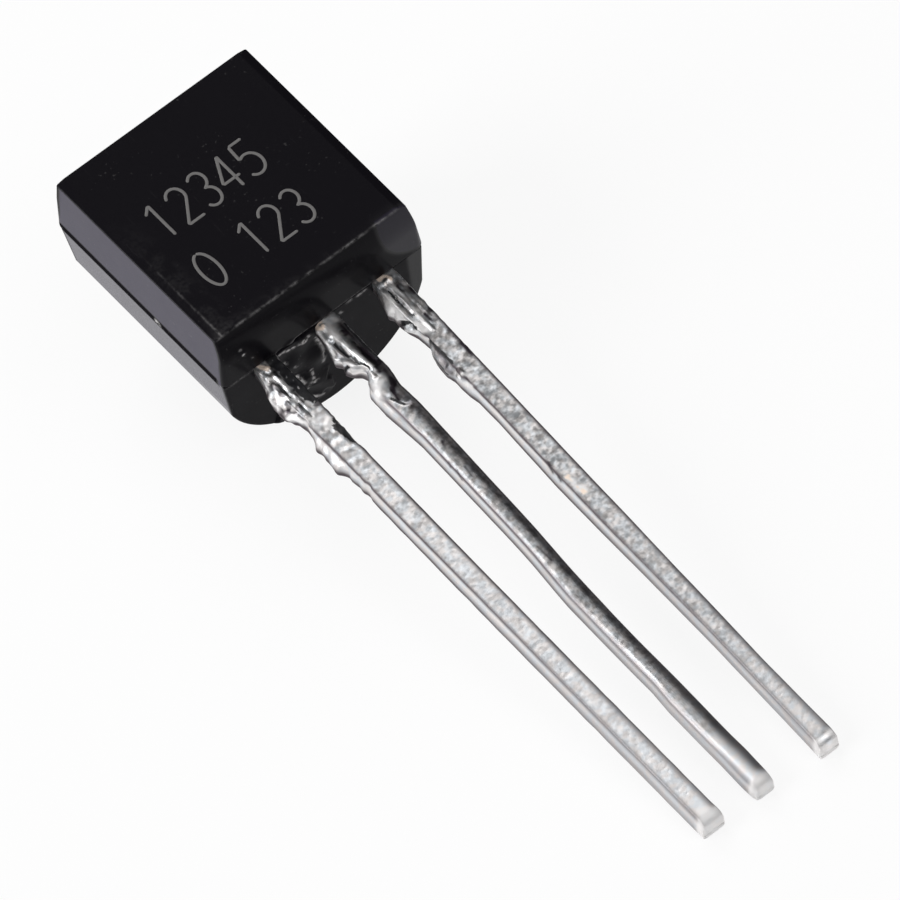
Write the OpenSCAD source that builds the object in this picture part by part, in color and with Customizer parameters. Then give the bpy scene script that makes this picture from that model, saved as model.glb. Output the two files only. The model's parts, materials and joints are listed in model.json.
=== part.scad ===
// Small-signal transistor in a moulded three-lead package (TO-92 outline).
// It lies on its rounded back and its lead tips, with the flat face up.
// Package frame, before it is laid down: X runs along the row of leads from pin 1
// to pin 3, Y runs away from the leads, and Z points out of the flat face.
// The seam between the two mould halves is the plane Z = 0, and the leads leave
// the body at Y = 0 with their upper faces in that plane.

/* [Moulded body] */
// Width across the seam
body_w = 4.35; // [4.1:0.05:5.2]
// Length at the seam, from the lead end to the far end
body_l = 4.7; // [4.3:0.05:5.3]
// Depth from the seam to the flat face
front_d = 1.2; // [1:0.05:1.4]
// Depth from the seam to the rounded back
back_d = 2.55; // [2.2:0.05:2.8]
// Draft of the front half's walls, in degrees
front_draft = 6; // [2:0.5:8]
// Draft of the back half's walls, in degrees
back_draft = 4.6; // [2:0.2:6]
// Set-back of the back half from the front half at the seam
seam_step = 0.035; // [0.01:0.005:0.08]
// Depth of the back half's straight side walls
wall_d = 1.05; // [0.8:0.05:1.3]
// Radius of the front half's corners at the seam
corner_r = 0.15; // [0.05:0.01:0.3]
// Width of the shallow bevel along each side of the flat face
bevel_w = 0.16; // [0.05:0.01:0.3]
// Drop of that bevel from the flat face to the side wall
bevel_d = 0.04; // [0.01:0.005:0.1]
// Depth of the curved part of the front half's lead end
nose_d = 0.6; // [0.3:0.05:0.8]
// Radius of that curve
nose_r = 1.2; // [0.9:0.05:2]

/* [Gate scar] */
// Width of the broken gate stub on the lead end, between leads 1 and 2
gate_w = 0.5; // [0.3:0.05:0.65]
// Height of the stub, down from the seam
gate_h = 0.55; // [0.3:0.05:0.8]
// How far the stub stands out past the lead end
gate_l = 0.07; // [0.02:0.01:0.15]

/* [Leads] */
// Distance between neighbouring leads where they leave the body
lead_pitch = 1.27; // [1.15:0.01:1.39]
// Width of a lead
lead_w = 0.45; // [0.36:0.01:0.53]
// Thickness of a lead and of the whole lead frame
lead_t = 0.4; // [0.33:0.01:0.5]
// Length of the leads from the seam's lead end to their tips
lead_len = 12.5; // [8:0.5:15]
// Sideways lean of lead 1 towards the pin 1 side, in degrees
emitter_lean = 0.9; // [0:0.1:3]
// Sideways lean of lead 2, in degrees
base_lean = 2; // [0:0.1:3]
// Sideways lean of lead 3, in degrees
collector_lean = 1.7; // [0:0.1:3]
// Distance from the body to where the tie bar was cut away
stub_y = 1.5; // [1:0.1:2.5]
// Width of the cut tie bar, along the lead
stub_l = 1; // [0.6:0.1:1.5]
// How far its stub stands out on the pin 1 side of each lead
stub_out = 0.11; // [0.02:0.01:0.2]
// How far its stub stands out on the pin 3 side of each lead
stub_in = 0.05; // [0.02:0.01:0.2]
// Bevel of the cut tips
tip_bevel = 0.06; // [0.02:0.01:0.12]

/* [Lead frame inside the body] */
// Distance from the lead end to the heads of leads 1 and 2
head_y = 1.1; // [0.8:0.05:1.3]
// Length of those heads
head_l = 0.65; // [0.4:0.05:0.8]
// Width of the heads
head_w = 0.95; // [0.6:0.05:1.1]
// Gap between the lead frame's pieces, where they pass each other
frame_gap = 0.3; // [0.2:0.05:0.4]
// Length of the chip pad on lead 3
pad_l = 1.6; // [1.1:0.05:1.8]
// Width of the chip pad
pad_w = 2.4; // [2:0.05:2.6]

/* [Chip and bond wires] */
// Side of the square chip
chip_w = 0.7; // [0.4:0.05:0.8]
// Thickness of the chip
chip_t = 0.2; // [0.12:0.01:0.25]
// Thickness of the solder layer under the chip
solder_t = 0.03; // [0.02:0.005:0.05]
// How far the solder layer stands out around the chip
solder_rim = 0.05; // [0.02:0.01:0.1]
// Diameter of the bond wires
wire_d = 0.05; // [0.03:0.005:0.07]
// Height of a wire's bow above the straight line between its ends
wire_bow = 0.25; // [0.15:0.01:0.35]
// Diameter of the ball bond at each end of a wire
ball_d = 0.12; // [0.09:0.01:0.15]
// Height of the ball bond
ball_h = 0.04; // [0.03:0.005:0.06]
// Distance of each wire's ball from the chip's centre, along X
ball_x = 0.17; // [0.12:0.01:0.2]

/* [Hidden] */
over = 1;                                       // margin past a cut face
smooth = 96;                                    // steps in a full round
epoxy = [0.12, 0.12, 0.14];
tin = [0.78, 0.78, 0.77];

// Back half, as seen from the lead end
back_hw = body_w / 2 - seam_step;               // half width at the seam
wall_hw = back_hw - wall_d * tan(back_draft);   // half width at the walls' foot
arc_h = back_d - wall_d;
arc_r = (pow(wall_hw, 2) + pow(arc_h, 2)) / (2 * arc_h);
back_in = seam_step + back_d * tan(back_draft); // set-back of the back's deepest line

// Front half
flat_in = front_d * tan(front_draft);           // set-back of the flat's far edge
flat_hw = body_w / 2 - flat_in;                 // half width at the top of the walls

// Leads, from pin 1 to pin 3
emitter_x = -lead_pitch;
collector_x = lead_pitch;
tip_y = -lead_len;

// Lead frame inside: heads of leads 1 and 2 side by side, the chip pad past them
pad_y = head_y + head_l + frame_gap;
pad_x = collector_x + lead_w / 2 - pad_w / 2;
base_head_x = (head_w - lead_w) / 4;
emitter_head_x = base_head_x - head_w - frame_gap;
chip_y = pad_y + pad_l / 2;
chip_top = solder_t + chip_t;

// Laid down: the back's lead-side corner and the undersides of the tips touch the floor
rest_tilt = atan((back_d - lead_t) / (lead_len + back_in));
rest_z = back_d * cos(rest_tilt) - back_in * sin(rest_tilt);
low_y = tip_y * cos(rest_tilt);
high_y = max((body_l - back_in) * cos(rest_tilt) + back_d * sin(rest_tilt),
             (body_l - seam_step) * cos(rest_tilt),
             body_l * cos(rest_tilt));
mid_y = (low_y + high_y) / 2;

// Turns the package about the row of leads until it rests, with the middle of its
// outline over the origin
module lay_down() {
    translate([0, -mid_y, rest_z]) rotate([rest_tilt, 0, 0]) children();
}

// Extrudes a profile drawn across the package (X, Z) along Y, past both ends
module along_body() {
    translate([0, body_l + over, 0]) rotate([90, 0, 0])
        linear_extrude(body_l + 2 * over) children();
}

// Extrudes a profile drawn along the package (Y, Z) across it, past both sides
module across_body() {
    translate([-body_w / 2 - over, 0, 0]) rotate([90, 0, 90])
        linear_extrude(body_w + 2 * over) children();
}

// Section of the front half across the package: drafted walls and bevelled edges
module front_section() {
    hw = flat_hw;
    polygon([[-body_w / 2, 0], [body_w / 2, 0], [hw, front_d - bevel_d],
             [hw - bevel_w, front_d], [bevel_w - hw, front_d], [-hw, front_d - bevel_d]]);
}

// Side view of the front half: drafted far end, curved lead end
module front_side() {
    intersection() {
        polygon([[0, 0], [body_l, 0], [body_l - flat_in, front_d], [0, front_d]]);
        union() {
            translate([nose_r, front_d - nose_d]) circle(r = nose_r, $fn = smooth);
            translate([nose_r, 0]) square([body_l, front_d]);
            square([nose_r, front_d - nose_d]);
        }
    }
}

// Plan of the front half at the seam, with round corners
module front_plan() {
    far = [body_w / 2 - corner_r, body_l - corner_r];
    translate([-body_w / 2, corner_r]) square([body_w, body_l - 2 * corner_r]);
    translate([-far.x, 0]) square([2 * far.x, body_l]);
    for (x = [-far.x, far.x], y = [corner_r, far.y])
        translate([x, y]) circle(r = corner_r, $fn = smooth);
}

module front_half() {
    intersection() {
        along_body() front_section();
        across_body() front_side();
        linear_extrude(front_d) front_plan();
    }
}

// Section of the back half: straight drafted walls above a round back
module back_section() {
    polygon([[-back_hw, 0], [back_hw, 0], [wall_hw, -wall_d], [-wall_hw, -wall_d]]);
    intersection() {
        translate([0, arc_r - back_d]) circle(r = arc_r, $fn = 2 * smooth);
        translate([-body_w / 2, -back_d - over]) square([body_w, arc_h + over]);
    }
}

// Side view of the back half: both ends drafted
module back_side() {
    polygon([[seam_step, 0], [body_l - seam_step, 0],
             [body_l - back_in, -back_d], [back_in, -back_d]]);
}

module back_half() {
    intersection() {
        along_body() back_section();
        across_body() back_side();
    }
}

// Broken stub of the mould's gate, on the lead end between leads 1 and 2
module gate_stub() {
    root = seam_step + gate_h * tan(back_draft);
    translate([-(lead_pitch + gate_w) / 2, 0, 0]) rotate([90, 0, 90]) linear_extrude(gate_w)
        polygon([[over / 2, 0], [seam_step - gate_l, 0], [seam_step - gate_l, -gate_h / 2],
                 [root, -gate_h], [over / 2, -gate_h]]);
}

// Plan outline of one lead from inside the body to its tip. x is its centre where it
// leaves the body, top the Y where its outline ends inside, and lean its sideways lean.
module lead_plan(x, top, lean) {
    hw = lead_w / 2;
    ramp = (stub_out + stub_in) / 2;
    far = -stub_y - stub_l;
    function centre(y) = x + min(y, 0) * tan(lean);
    near_side = [[top, hw], [0, hw], [-stub_y, hw], [-stub_y - ramp, hw + stub_in],
                 [far + ramp, hw + stub_in], [far, hw],
                 [tip_y + tip_bevel, hw], [tip_y, hw - tip_bevel]];
    far_side = [[tip_y, hw - tip_bevel], [tip_y + tip_bevel, hw], [far, hw],
                [far + ramp, hw + stub_out], [-stub_y - ramp, hw + stub_out],
                [-stub_y, hw], [0, hw], [top, hw]];
    polygon([for (p = near_side) [centre(p[0]) + p[1], p[0]],
             for (p = far_side) [centre(p[0]) - p[1], p[0]]]);
}

// A flat piece of the lead frame, with its upper face in the seam plane
module frame_plate() {
    translate([0, 0, -lead_t]) linear_extrude(lead_t) children();
}

// A lead whose outline runs up into the middle of a plate. The plate's low corner is
// at [plate.x, plate.y] and its sides are size.x and size.y.
module lead_with_plate(x, lean, plate, size) {
    color(tin) union() {
        frame_plate() lead_plan(x, plate.y + size.y / 2, lean);
        frame_plate() translate(plate) square(size);
    }
}

module emitter_lead() {
    lead_with_plate(emitter_x, emitter_lean, [emitter_head_x - head_w / 2, head_y], [head_w, head_l]);
}

module base_lead() {
    lead_with_plate(0, base_lean, [base_head_x - head_w / 2, head_y], [head_w, head_l]);
}

module collector_lead() {
    lead_with_plate(collector_x, collector_lean, [pad_x - pad_w / 2, pad_y], [pad_w, pad_l]);
}

module chip_solder() {
    side = chip_w + 2 * solder_rim;
    color([0.6, 0.6, 0.62])
        translate([pad_x - side / 2, chip_y - side / 2, 0]) cube([side, side, solder_t]);
}

module chip() {
    color([0.35, 0.37, 0.42])
        translate([pad_x - chip_w / 2, chip_y - chip_w / 2, solder_t])
            cube([chip_w, chip_w, chip_t]);
}

// Bond wire from a ball on the chip, dx from its centre, to a ball on the head whose
// centre is [head_x, head_y + head_l / 2]. The bow is one arc between the two balls.
module bond_wire(dx, head_x) {
    start = [pad_x + dx, chip_y, chip_top];
    end = [head_x, head_y + head_l / 2, 0];
    run = norm([end.x - start.x, end.y - start.y]);
    drop = start.z - end.z;
    chord = norm([run, drop]);
    r = (pow(chord / 2, 2) + pow(wire_bow, 2)) / (2 * wire_bow);
    half = asin(chord / (2 * r));
    color([0.83, 0.62, 0.28]) {
        for (p = [start, end]) translate(p) cylinder(d = ball_d, h = ball_h, $fn = 24);
        difference() {
            translate(start) rotate([0, 0, atan2(end.y - start.y, end.x - start.x)])
                rotate([0, atan(drop / run), 0]) translate([chord / 2, 0, wire_bow - r])
                    rotate([90, 0, 0]) rotate([0, 0, 90 - half])
                        rotate_extrude(angle = 2 * half, $fn = smooth)
                            translate([r, 0]) circle(d = wire_d, $fn = 16);
            chip();
            translate([end.x - over / 2, end.y - over / 2, -over]) cube(over);
        }
    }
}

module emitter_bond_wire() { bond_wire(-ball_x, emitter_head_x); }
module base_bond_wire() { bond_wire(ball_x, base_head_x); }

// The moulding: one solid, filled round everything that it seals in
module moulded_body() {
    color(epoxy) difference() {
        union() {
            front_half();
            back_half();
            gate_stub();
        }
        emitter_lead();
        base_lead();
        collector_lead();
        chip_solder();
        chip();
        emitter_bond_wire();
        base_bond_wire();
    }
}

lay_down() moulded_body();
lay_down() emitter_lead();
lay_down() base_lead();
lay_down() collector_lead();
lay_down() chip_solder();
lay_down() chip();
lay_down() emitter_bond_wire();
lay_down() base_bond_wire();
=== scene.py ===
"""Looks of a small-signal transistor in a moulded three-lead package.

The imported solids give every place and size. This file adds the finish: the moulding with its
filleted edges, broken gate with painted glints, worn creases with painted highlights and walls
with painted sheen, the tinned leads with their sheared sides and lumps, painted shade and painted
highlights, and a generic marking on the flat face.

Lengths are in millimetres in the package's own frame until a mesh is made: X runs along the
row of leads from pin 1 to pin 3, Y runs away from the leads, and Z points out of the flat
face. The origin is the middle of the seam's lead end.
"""
import json
import logging
import math
from dataclasses import dataclass
from enum import Enum

import bpy
import numpy as np
from mathutils import Matrix, Vector


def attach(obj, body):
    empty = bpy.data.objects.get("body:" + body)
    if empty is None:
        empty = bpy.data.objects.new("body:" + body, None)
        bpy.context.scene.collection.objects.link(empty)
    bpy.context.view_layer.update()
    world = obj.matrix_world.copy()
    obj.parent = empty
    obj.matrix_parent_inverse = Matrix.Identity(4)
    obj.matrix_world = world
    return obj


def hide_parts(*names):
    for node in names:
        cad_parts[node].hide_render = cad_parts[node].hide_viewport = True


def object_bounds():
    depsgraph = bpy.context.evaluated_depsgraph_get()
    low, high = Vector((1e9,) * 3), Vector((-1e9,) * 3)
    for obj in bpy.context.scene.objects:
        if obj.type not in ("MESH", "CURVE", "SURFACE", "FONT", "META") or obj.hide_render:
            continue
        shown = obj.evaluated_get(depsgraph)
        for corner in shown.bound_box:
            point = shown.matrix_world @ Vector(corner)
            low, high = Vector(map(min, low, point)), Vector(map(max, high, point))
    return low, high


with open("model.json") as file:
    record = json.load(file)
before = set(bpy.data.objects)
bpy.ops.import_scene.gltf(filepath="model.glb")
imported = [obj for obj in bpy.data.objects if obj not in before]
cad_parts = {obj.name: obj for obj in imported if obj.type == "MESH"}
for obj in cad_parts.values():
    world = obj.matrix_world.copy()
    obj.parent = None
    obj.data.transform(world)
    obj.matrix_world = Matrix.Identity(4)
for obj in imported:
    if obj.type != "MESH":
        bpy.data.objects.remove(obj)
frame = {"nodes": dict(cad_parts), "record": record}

CAD_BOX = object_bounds()
MM = 0.001
log = logging.getLogger("transistor")


# ---------------------------------------------------------------- frame and mesh helpers


@dataclass(frozen=True)
class PackageFrame:
    """The package's own frame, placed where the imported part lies.

    Attributes:
        origin: Middle of the seam's lead end, in the row frame, in metres.
        axes: The package's X, Y and Z axes as rows, in the row frame.
    """

    origin: np.ndarray
    axes: np.ndarray

    @classmethod
    def from_record(cls, record: dict, front_depth: float, lead_length: float) -> "PackageFrame":
        """Works the frame out from the record's two mounts.

        Formula: the origin lies front_depth under the flat face's plane and lead_length
        behind the plane of the lead tips.

        Args:
            record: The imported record.
            front_depth: Depth from the flat face to the seam, in millimetres.
            lead_length: Length of the leads, in millimetres.

        Returns:
            The frame.
        """
        mounts = {mount["name"]: mount for mount in record["mounts"]}
        flat, tips = mounts["flat_face"], mounts["solder_leads"]
        up = np.array(flat["axis"], float)
        along = -np.array(tips["axis"], float)
        height = np.dot(flat["pos_m"], up) - front_depth * MM
        reach = np.dot(tips["pos_m"], along) + lead_length * MM
        return cls(height * up + reach * along, np.array([np.cross(along, up), along, up]))

    def place(self, points: np.ndarray) -> np.ndarray:
        """Returns points given in package millimetres as row-frame metres."""
        return self.origin + (points * MM) @ self.axes

    @property
    def tilt(self) -> float:
        """The angle that the package is turned about X to lie down, in radians."""
        return math.atan2(self.axes[1][2], self.axes[1][1])


def rounded_path(points: np.ndarray, cut: float, steps: int, closed: bool = False) -> np.ndarray:
    """Rounds the corners of a path of control points.

    Formula: a corner P becomes the parabola (1-s)^2 A + 2s(1-s) P + s^2 B, where A and B lie
    on the two sides at the distance cut from P, or at most_cut of a side that is shorter. One
    more point on each side, reach times as far out, keeps the shading of flat stretches flat.

    Args:
        points: Control points, one a row, of any dimension.
        cut: Distance from each corner to where its rounding starts.
        steps: Number of stretches in each rounding.
        closed: Whether the path closes on itself.

    Returns:
        The points of the rounded path.
    """
    most_cut, reach, most_reach = 0.4, 1.6, 0.49
    sides = [np.roll(points, turn, axis=0) - points for turn in (1, -1)]
    cuts = [np.minimum(cut / np.linalg.norm(side, axis=1, keepdims=True), most_cut) for side in sides]
    start, end = (points + side * share for side, share in zip(sides, cuts))
    before, after = (points + side * np.minimum(share * reach, most_reach)
                     for side, share in zip(sides, cuts))
    s = np.linspace(0, 1, steps + 1)[None, :, None]
    curve = (1 - s) ** 2 * start[:, None] + 2 * s * (1 - s) * points[:, None] + s**2 * end[:, None]
    rounded = np.concatenate([before[:, None], curve, after[:, None]], axis=1)
    if closed:
        return rounded.reshape(-1, points.shape[1])
    middle = rounded[1:-1].reshape(-1, points.shape[1])
    return np.vstack([points[:1], middle, points[-1:]])


def refined(path: np.ndarray, step: float) -> np.ndarray:
    """Adds evenly spaced points to a path so that no stretch is longer than step.

    Formula: each stretch is cut into the fewest equal parts that are short enough.

    Args:
        path: The path's corners.
        step: Length of the longest stretch allowed.

    Returns:
        The path with the points added.
    """
    moves = np.diff(path, axis=0)
    counts = np.maximum(1, np.ceil(np.linalg.norm(moves, axis=1) / step)).astype(int)
    first = np.repeat(np.cumsum(counts) - counts, counts)
    share = (np.arange(counts.sum()) - first) / np.repeat(counts, counts)
    inner = np.repeat(path[:-1], counts, axis=0) + share[:, None] * np.repeat(moves, counts, axis=0)
    return np.vstack([inner, path[-1:]])


def ripple(points: np.ndarray, seed: int, low: float, high: float, waves: int = 32) -> np.ndarray:
    """Smooth noise of about -1 to 1 in space.

    Formula: the sum of sine waves in random directions, each with a random phase and a
    frequency between low and high, divided by the root of half their number.

    Args:
        points: Points in millimetres, the last axis being X, Y, Z.
        seed: Seed of the random draw.
        low: Lowest frequency, in waves a millimetre.
        high: Highest frequency, in waves a millimetre.
        waves: Number of waves.

    Returns:
        One value a point.
    """
    rng = np.random.default_rng(seed)
    directions = rng.normal(size=(waves, 3))
    directions /= np.linalg.norm(directions, axis=1, keepdims=True)
    turns = directions * rng.uniform(low, high, (waves, 1)) * 2 * math.pi
    phases = rng.uniform(0, 2 * math.pi, waves)
    return np.sin(points @ turns.T + phases).sum(axis=-1) / math.sqrt(waves / 2)


def step_up(values: np.ndarray, low: float, high: float) -> np.ndarray:
    """Rises smoothly from 0 at low to 1 at high, by 3s^2 - 2s^3."""
    s = np.clip((values - low) / (high - low), 0, 1)
    return s * s * (3 - 2 * s)


def fade(values: np.ndarray, low: float, high: float) -> np.ndarray:
    """Falls smoothly from 1 at low to 0 at high."""
    return 1 - step_up(values, low, high)


def window(values: np.ndarray, low: float, high: float, soft: float) -> np.ndarray:
    """Is 1 between low and high and falls smoothly to 0 over soft beyond them."""
    return step_up(values, low - soft, low) * fade(values, high, high + soft)


def bell(values: np.ndarray, middle: float, reach: float | np.ndarray) -> np.ndarray:
    """Is 1 at middle and falls off by exp(-(d / reach)^2), d being the distance to it."""
    return np.exp(-(((values - middle) / reach) ** 2))


def blended(table: tuple, at: np.ndarray, reach: float, readings: int = 9) -> np.ndarray:
    """Reads a table of (place, value) rows, as the mean of linear readings within reach.

    Args:
        table: The rows, in rising order of place.
        at: Where to read it.
        reach: How far the outermost readings lie from there.
        readings: Number of readings, evenly spaced.

    Returns:
        The value at each place.
    """
    places, values = np.array(table, float).T
    shifts = reach * np.linspace(-1, 1, readings)
    return np.interp(at[..., None] + shifts, places, values).mean(axis=-1)


@dataclass(frozen=True)
class Stroke:
    """A line on a surface: a ridge, a groove, a scratch or a smear.

    Attributes:
        strength: How strong it is on its path: a height in millimetres, or a share.
        width: Distance at which it has faded to 1/e.
        path: Its corners, in the surface's own two coordinates.
    """

    strength: float
    width: float
    path: tuple

    def across(self, u: np.ndarray, v: np.ndarray) -> np.ndarray:
        """Works out the stroke's strength at each place.

        Formula: strength times exp(-(d / width)^2), d being the distance to the path.

        Args:
            u: First surface coordinate of each place.
            v: Second surface coordinate of each place.

        Returns:
            The strength at each place.
        """
        corners = np.array(self.path, float)
        moves = np.diff(corners, axis=0)
        du = u[..., None] - corners[:-1, 0]
        dv = v[..., None] - corners[:-1, 1]
        share = np.clip((du * moves[:, 0] + dv * moves[:, 1]) / (moves**2).sum(axis=1), 0, 1)
        square = (du - share * moves[:, 0]) ** 2 + (dv - share * moves[:, 1]) ** 2
        return self.strength * np.exp(-square.min(axis=-1) / self.width**2)


def strokes(*rows: tuple) -> tuple[Stroke, ...]:
    """Makes strokes from rows of strength, width and the corners of the path."""
    return tuple(Stroke(strength, width, tuple(path)) for strength, width, *path in rows)


def total(lines: tuple[Stroke, ...], u: np.ndarray, v: np.ndarray) -> np.ndarray:
    """Returns the sum of strokes at each place."""
    return sum((line.across(u, v) for line in lines), np.zeros(np.broadcast(u, v).shape))


def add_object(name: str, data: bpy.types.ID) -> bpy.types.Object:
    """Makes an object of a mesh, a lamp or a camera and puts it into the scene.

    Args:
        name: Name of the object.
        data: The mesh, lamp or camera.

    Returns:
        The object.
    """
    made = bpy.data.objects.new(name, data)
    bpy.context.scene.collection.objects.link(made)
    return made


def closed_surface(
    name: str,
    rings: np.ndarray,
    package: PackageFrame,
    masks: dict[str, np.ndarray] | None = None,
) -> bpy.types.Object:
    """Makes a closed mesh from rings of points, with a pole at each end.

    Formula: quads join each ring to the next, and a fan joins each end ring to its mean
    point. If the enclosed volume comes out negative, every face is turned round.

    Args:
        name: Name of the object.
        rings: Points in package millimetres, as rings x points x 3.
        package: The frame that places them.
        masks: Values for the mesh's attributes by name, as rings x points.

    Returns:
        The object, at the origin, with its place in its mesh.
    """
    count, size = rings.shape[:2]
    poles = np.array([rings[0].mean(axis=0), rings[-1].mean(axis=0)])
    points = package.place(np.vstack([rings.reshape(-1, 3), poles]))
    here = np.arange(count * size).reshape(count, size)
    beside = np.roll(here, -1, axis=1)
    quads = np.stack([here[:-1], here[1:], beside[1:], beside[:-1]], axis=-1).reshape(-1, 4)
    first = np.stack([np.full(size, count * size), here[0], beside[0]], axis=-1)
    last = np.stack([np.full(size, count * size + 1), beside[-1], here[-1]], axis=-1)
    fans = np.concatenate([first, last])
    triangles = np.concatenate([quads[:, [0, 1, 2]], quads[:, [0, 2, 3]], fans])
    a, b, c = (points[triangles[:, i]] - points.mean(axis=0) for i in range(3))
    if np.einsum("ij,ij->", a, np.cross(b, c)) < 0:
        quads, fans = quads[:, ::-1], fans[:, ::-1]
    corners = np.concatenate([quads.ravel(), fans.ravel()])
    sizes = np.repeat([4, 3], [len(quads), len(fans)])
    mesh = bpy.data.meshes.new(name)
    mesh.vertices.add(len(points))
    mesh.vertices.foreach_set("co", points.ravel())
    mesh.loops.add(len(corners))
    mesh.loops.foreach_set("vertex_index", corners.astype(np.int32))
    mesh.polygons.add(len(sizes))
    mesh.polygons.foreach_set("loop_start", (np.cumsum(sizes) - sizes).astype(np.int32))
    mesh.polygons.foreach_set("use_smooth", np.ones(len(sizes), bool))
    for mask, values in (masks or {}).items():
        ends = [values[0].mean(), values[-1].mean()]
        attribute = mesh.attributes.new(mask, "FLOAT", "POINT")
        attribute.data.foreach_set("value", np.append(values.ravel(), ends).astype(np.float32))
    mesh.update(calc_edges=True)
    mesh.validate()
    return add_object(name, mesh)


def dress(piece: bpy.types.Object, material: bpy.types.Material) -> None:
    """Gives a piece one material."""
    piece.data.materials.clear()
    piece.data.materials.append(material)


# ---------------------------------------------------------------- material helpers


@dataclass(frozen=True)
class Grain:
    """A noise pattern cut off at a low and a high value.

    Attributes:
        scale: How fine it is, in blotches a millimetre.
        detail: How many finer layers it has.
        low: Value of the noise up to which the pattern is 0.
        high: Value of the noise from which it is 1.
    """

    scale: float
    detail: float
    low: float
    high: float


class Nodes:
    """A short way to build a node tree: each call makes one node and wires its inputs."""

    def __init__(self, tree: bpy.types.NodeTree) -> None:
        """Keeps the tree that the nodes go into."""
        self.tree = tree

    def wire(self, node: bpy.types.Node, inputs: dict) -> None:
        """Fills the inputs of a node.

        Args:
            node: The node.
            inputs: Socket names or numbers, each with a value or the socket to link from.
        """
        for key, value in inputs.items():
            if isinstance(value, bpy.types.NodeSocket):
                self.tree.links.new(value, node.inputs[key])
            else:
                node.inputs[key].default_value = value

    def add(self, kind: str, inputs: dict | None = None, **settings: object) -> bpy.types.Node:
        """Adds a node.

        Args:
            kind: The node's type, without the leading ShaderNode.
            inputs: What fills its inputs, as for wire.
            **settings: Properties of the node.

        Returns:
            The node.
        """
        node = self.tree.nodes.new("ShaderNode" + kind)
        for key, value in settings.items():
            setattr(node, key, value)
        self.wire(node, inputs or {})
        return node

    def plus(self, a: object, b: object) -> bpy.types.NodeSocket:
        """Returns a + b, limited to 0 to 1."""
        return self.add("Math", {0: a, 1: b}, operation="ADD", use_clamp=True).outputs[0]

    def times(self, a: object, b: object) -> bpy.types.NodeSocket:
        """Returns a times b."""
        return self.add("Math", {0: a, 1: b}, operation="MULTIPLY").outputs[0]

    def larger(self, a: object, b: object) -> bpy.types.NodeSocket:
        """Returns the larger of a and b."""
        return self.add("Math", {0: a, 1: b}, operation="MAXIMUM").outputs[0]

    def opposite(self, a: object) -> bpy.types.NodeSocket:
        """Returns 1 - a."""
        return self.add("Math", {0: 1.0, 1: a}, operation="SUBTRACT").outputs[0]

    def ramp(self, value: object, low: float, high: float) -> bpy.types.NodeSocket:
        """Returns value mapped smoothly from low..high to 0..1."""
        inputs = {"Value": value, "From Min": low, "From Max": high}
        return self.add("MapRange", inputs, interpolation_type="SMOOTHSTEP").outputs[0]

    def span(self, value: object, low: float, high: float) -> bpy.types.NodeSocket:
        """Returns value mapped from 0..1 to low..high."""
        return self.add("MapRange", {"Value": value, "To Min": low, "To Max": high}).outputs[0]

    def mix(self, share: object, a: object, b: object, blend: str = "MIX") -> bpy.types.NodeSocket:
        """Returns the mix of two colours."""
        inputs = {0: share, 6: a, 7: b}
        return self.add("Mix", inputs, data_type="RGBA", blend_type=blend).outputs[2]

    def noise(self, vector: object, scale: float, detail: float) -> bpy.types.NodeSocket:
        """Returns the value of a Noise Texture."""
        inputs = {"Vector": vector, "Scale": scale, "Detail": detail}
        return self.add("TexNoise", inputs).outputs[0]

    def grain(self, vector: object, grain: Grain) -> bpy.types.NodeSocket:
        """Returns a noise pattern from 0 to 1."""
        return self.ramp(self.noise(vector, grain.scale, grain.detail), grain.low, grain.high)

    def scaled(self, vector: object, scale: tuple, turn: tuple = (0, 0, 0)) -> bpy.types.NodeSocket:
        """Returns a vector turned and stretched by a Mapping node."""
        inputs = {"Vector": vector, "Rotation": turn, "Scale": scale}
        return self.add("Mapping", inputs).outputs[0]

    def mask(self, name: str) -> bpy.types.NodeSocket:
        """Returns the value of one of the mesh's own attributes."""
        return self.add("Attribute", attribute_name=name).outputs["Fac"]

    def bump(self, height: object, distance: float) -> bpy.types.NodeSocket:
        """Returns the normal of a relief whose full height is distance, in millimetres."""
        inputs = {"Height": height, "Strength": 1.0, "Distance": distance * MM}
        return self.add("Bump", inputs).outputs[0]

    def effect(self, group: bpy.types.NodeTree, **inputs: object) -> bpy.types.NodeOutputs:
        """Puts one of the shared effects into the tree and returns its outputs."""
        return self.add("Group", inputs, node_tree=group).outputs

    def seen_by(self, *rays: str) -> bpy.types.NodeSocket:
        """Tells rays of the named kinds from the others.

        Args:
            rays: Names of the kinds, such as Camera or Glossy.

        Returns:
            1 for rays of these kinds and 0 for the others.
        """
        path = self.add("LightPath").outputs
        seen = path[f"Is {rays[0]} Ray"]
        for ray in rays[1:]:
            seen = self.larger(seen, path[f"Is {ray} Ray"])
        return seen


def grey(level: float) -> tuple[float, float, float, float]:
    """Returns a neutral colour."""
    return (level, level, level, 1.0)


def new_group(name: str, inputs: dict[str, str], outputs: tuple[str, ...]) -> tuple:
    """Starts a shader node group.

    Args:
        name: Name of the group.
        inputs: The kind of each input, Vector or Float, by its name.
        outputs: Names of the output values.

    Returns:
        Its node builder, its inputs as sockets to link from, and its output node.
    """
    group = bpy.data.node_groups.new(name, "ShaderNodeTree")
    for key, kind in inputs.items():
        group.interface.new_socket(key, in_out="INPUT", socket_type="NodeSocket" + kind)
    for key in outputs:
        group.interface.new_socket(key, in_out="OUTPUT", socket_type="NodeSocketFloat")
    source = group.nodes.new("NodeGroupInput").outputs
    return Nodes(group), source, group.nodes.new("NodeGroupOutput")


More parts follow.
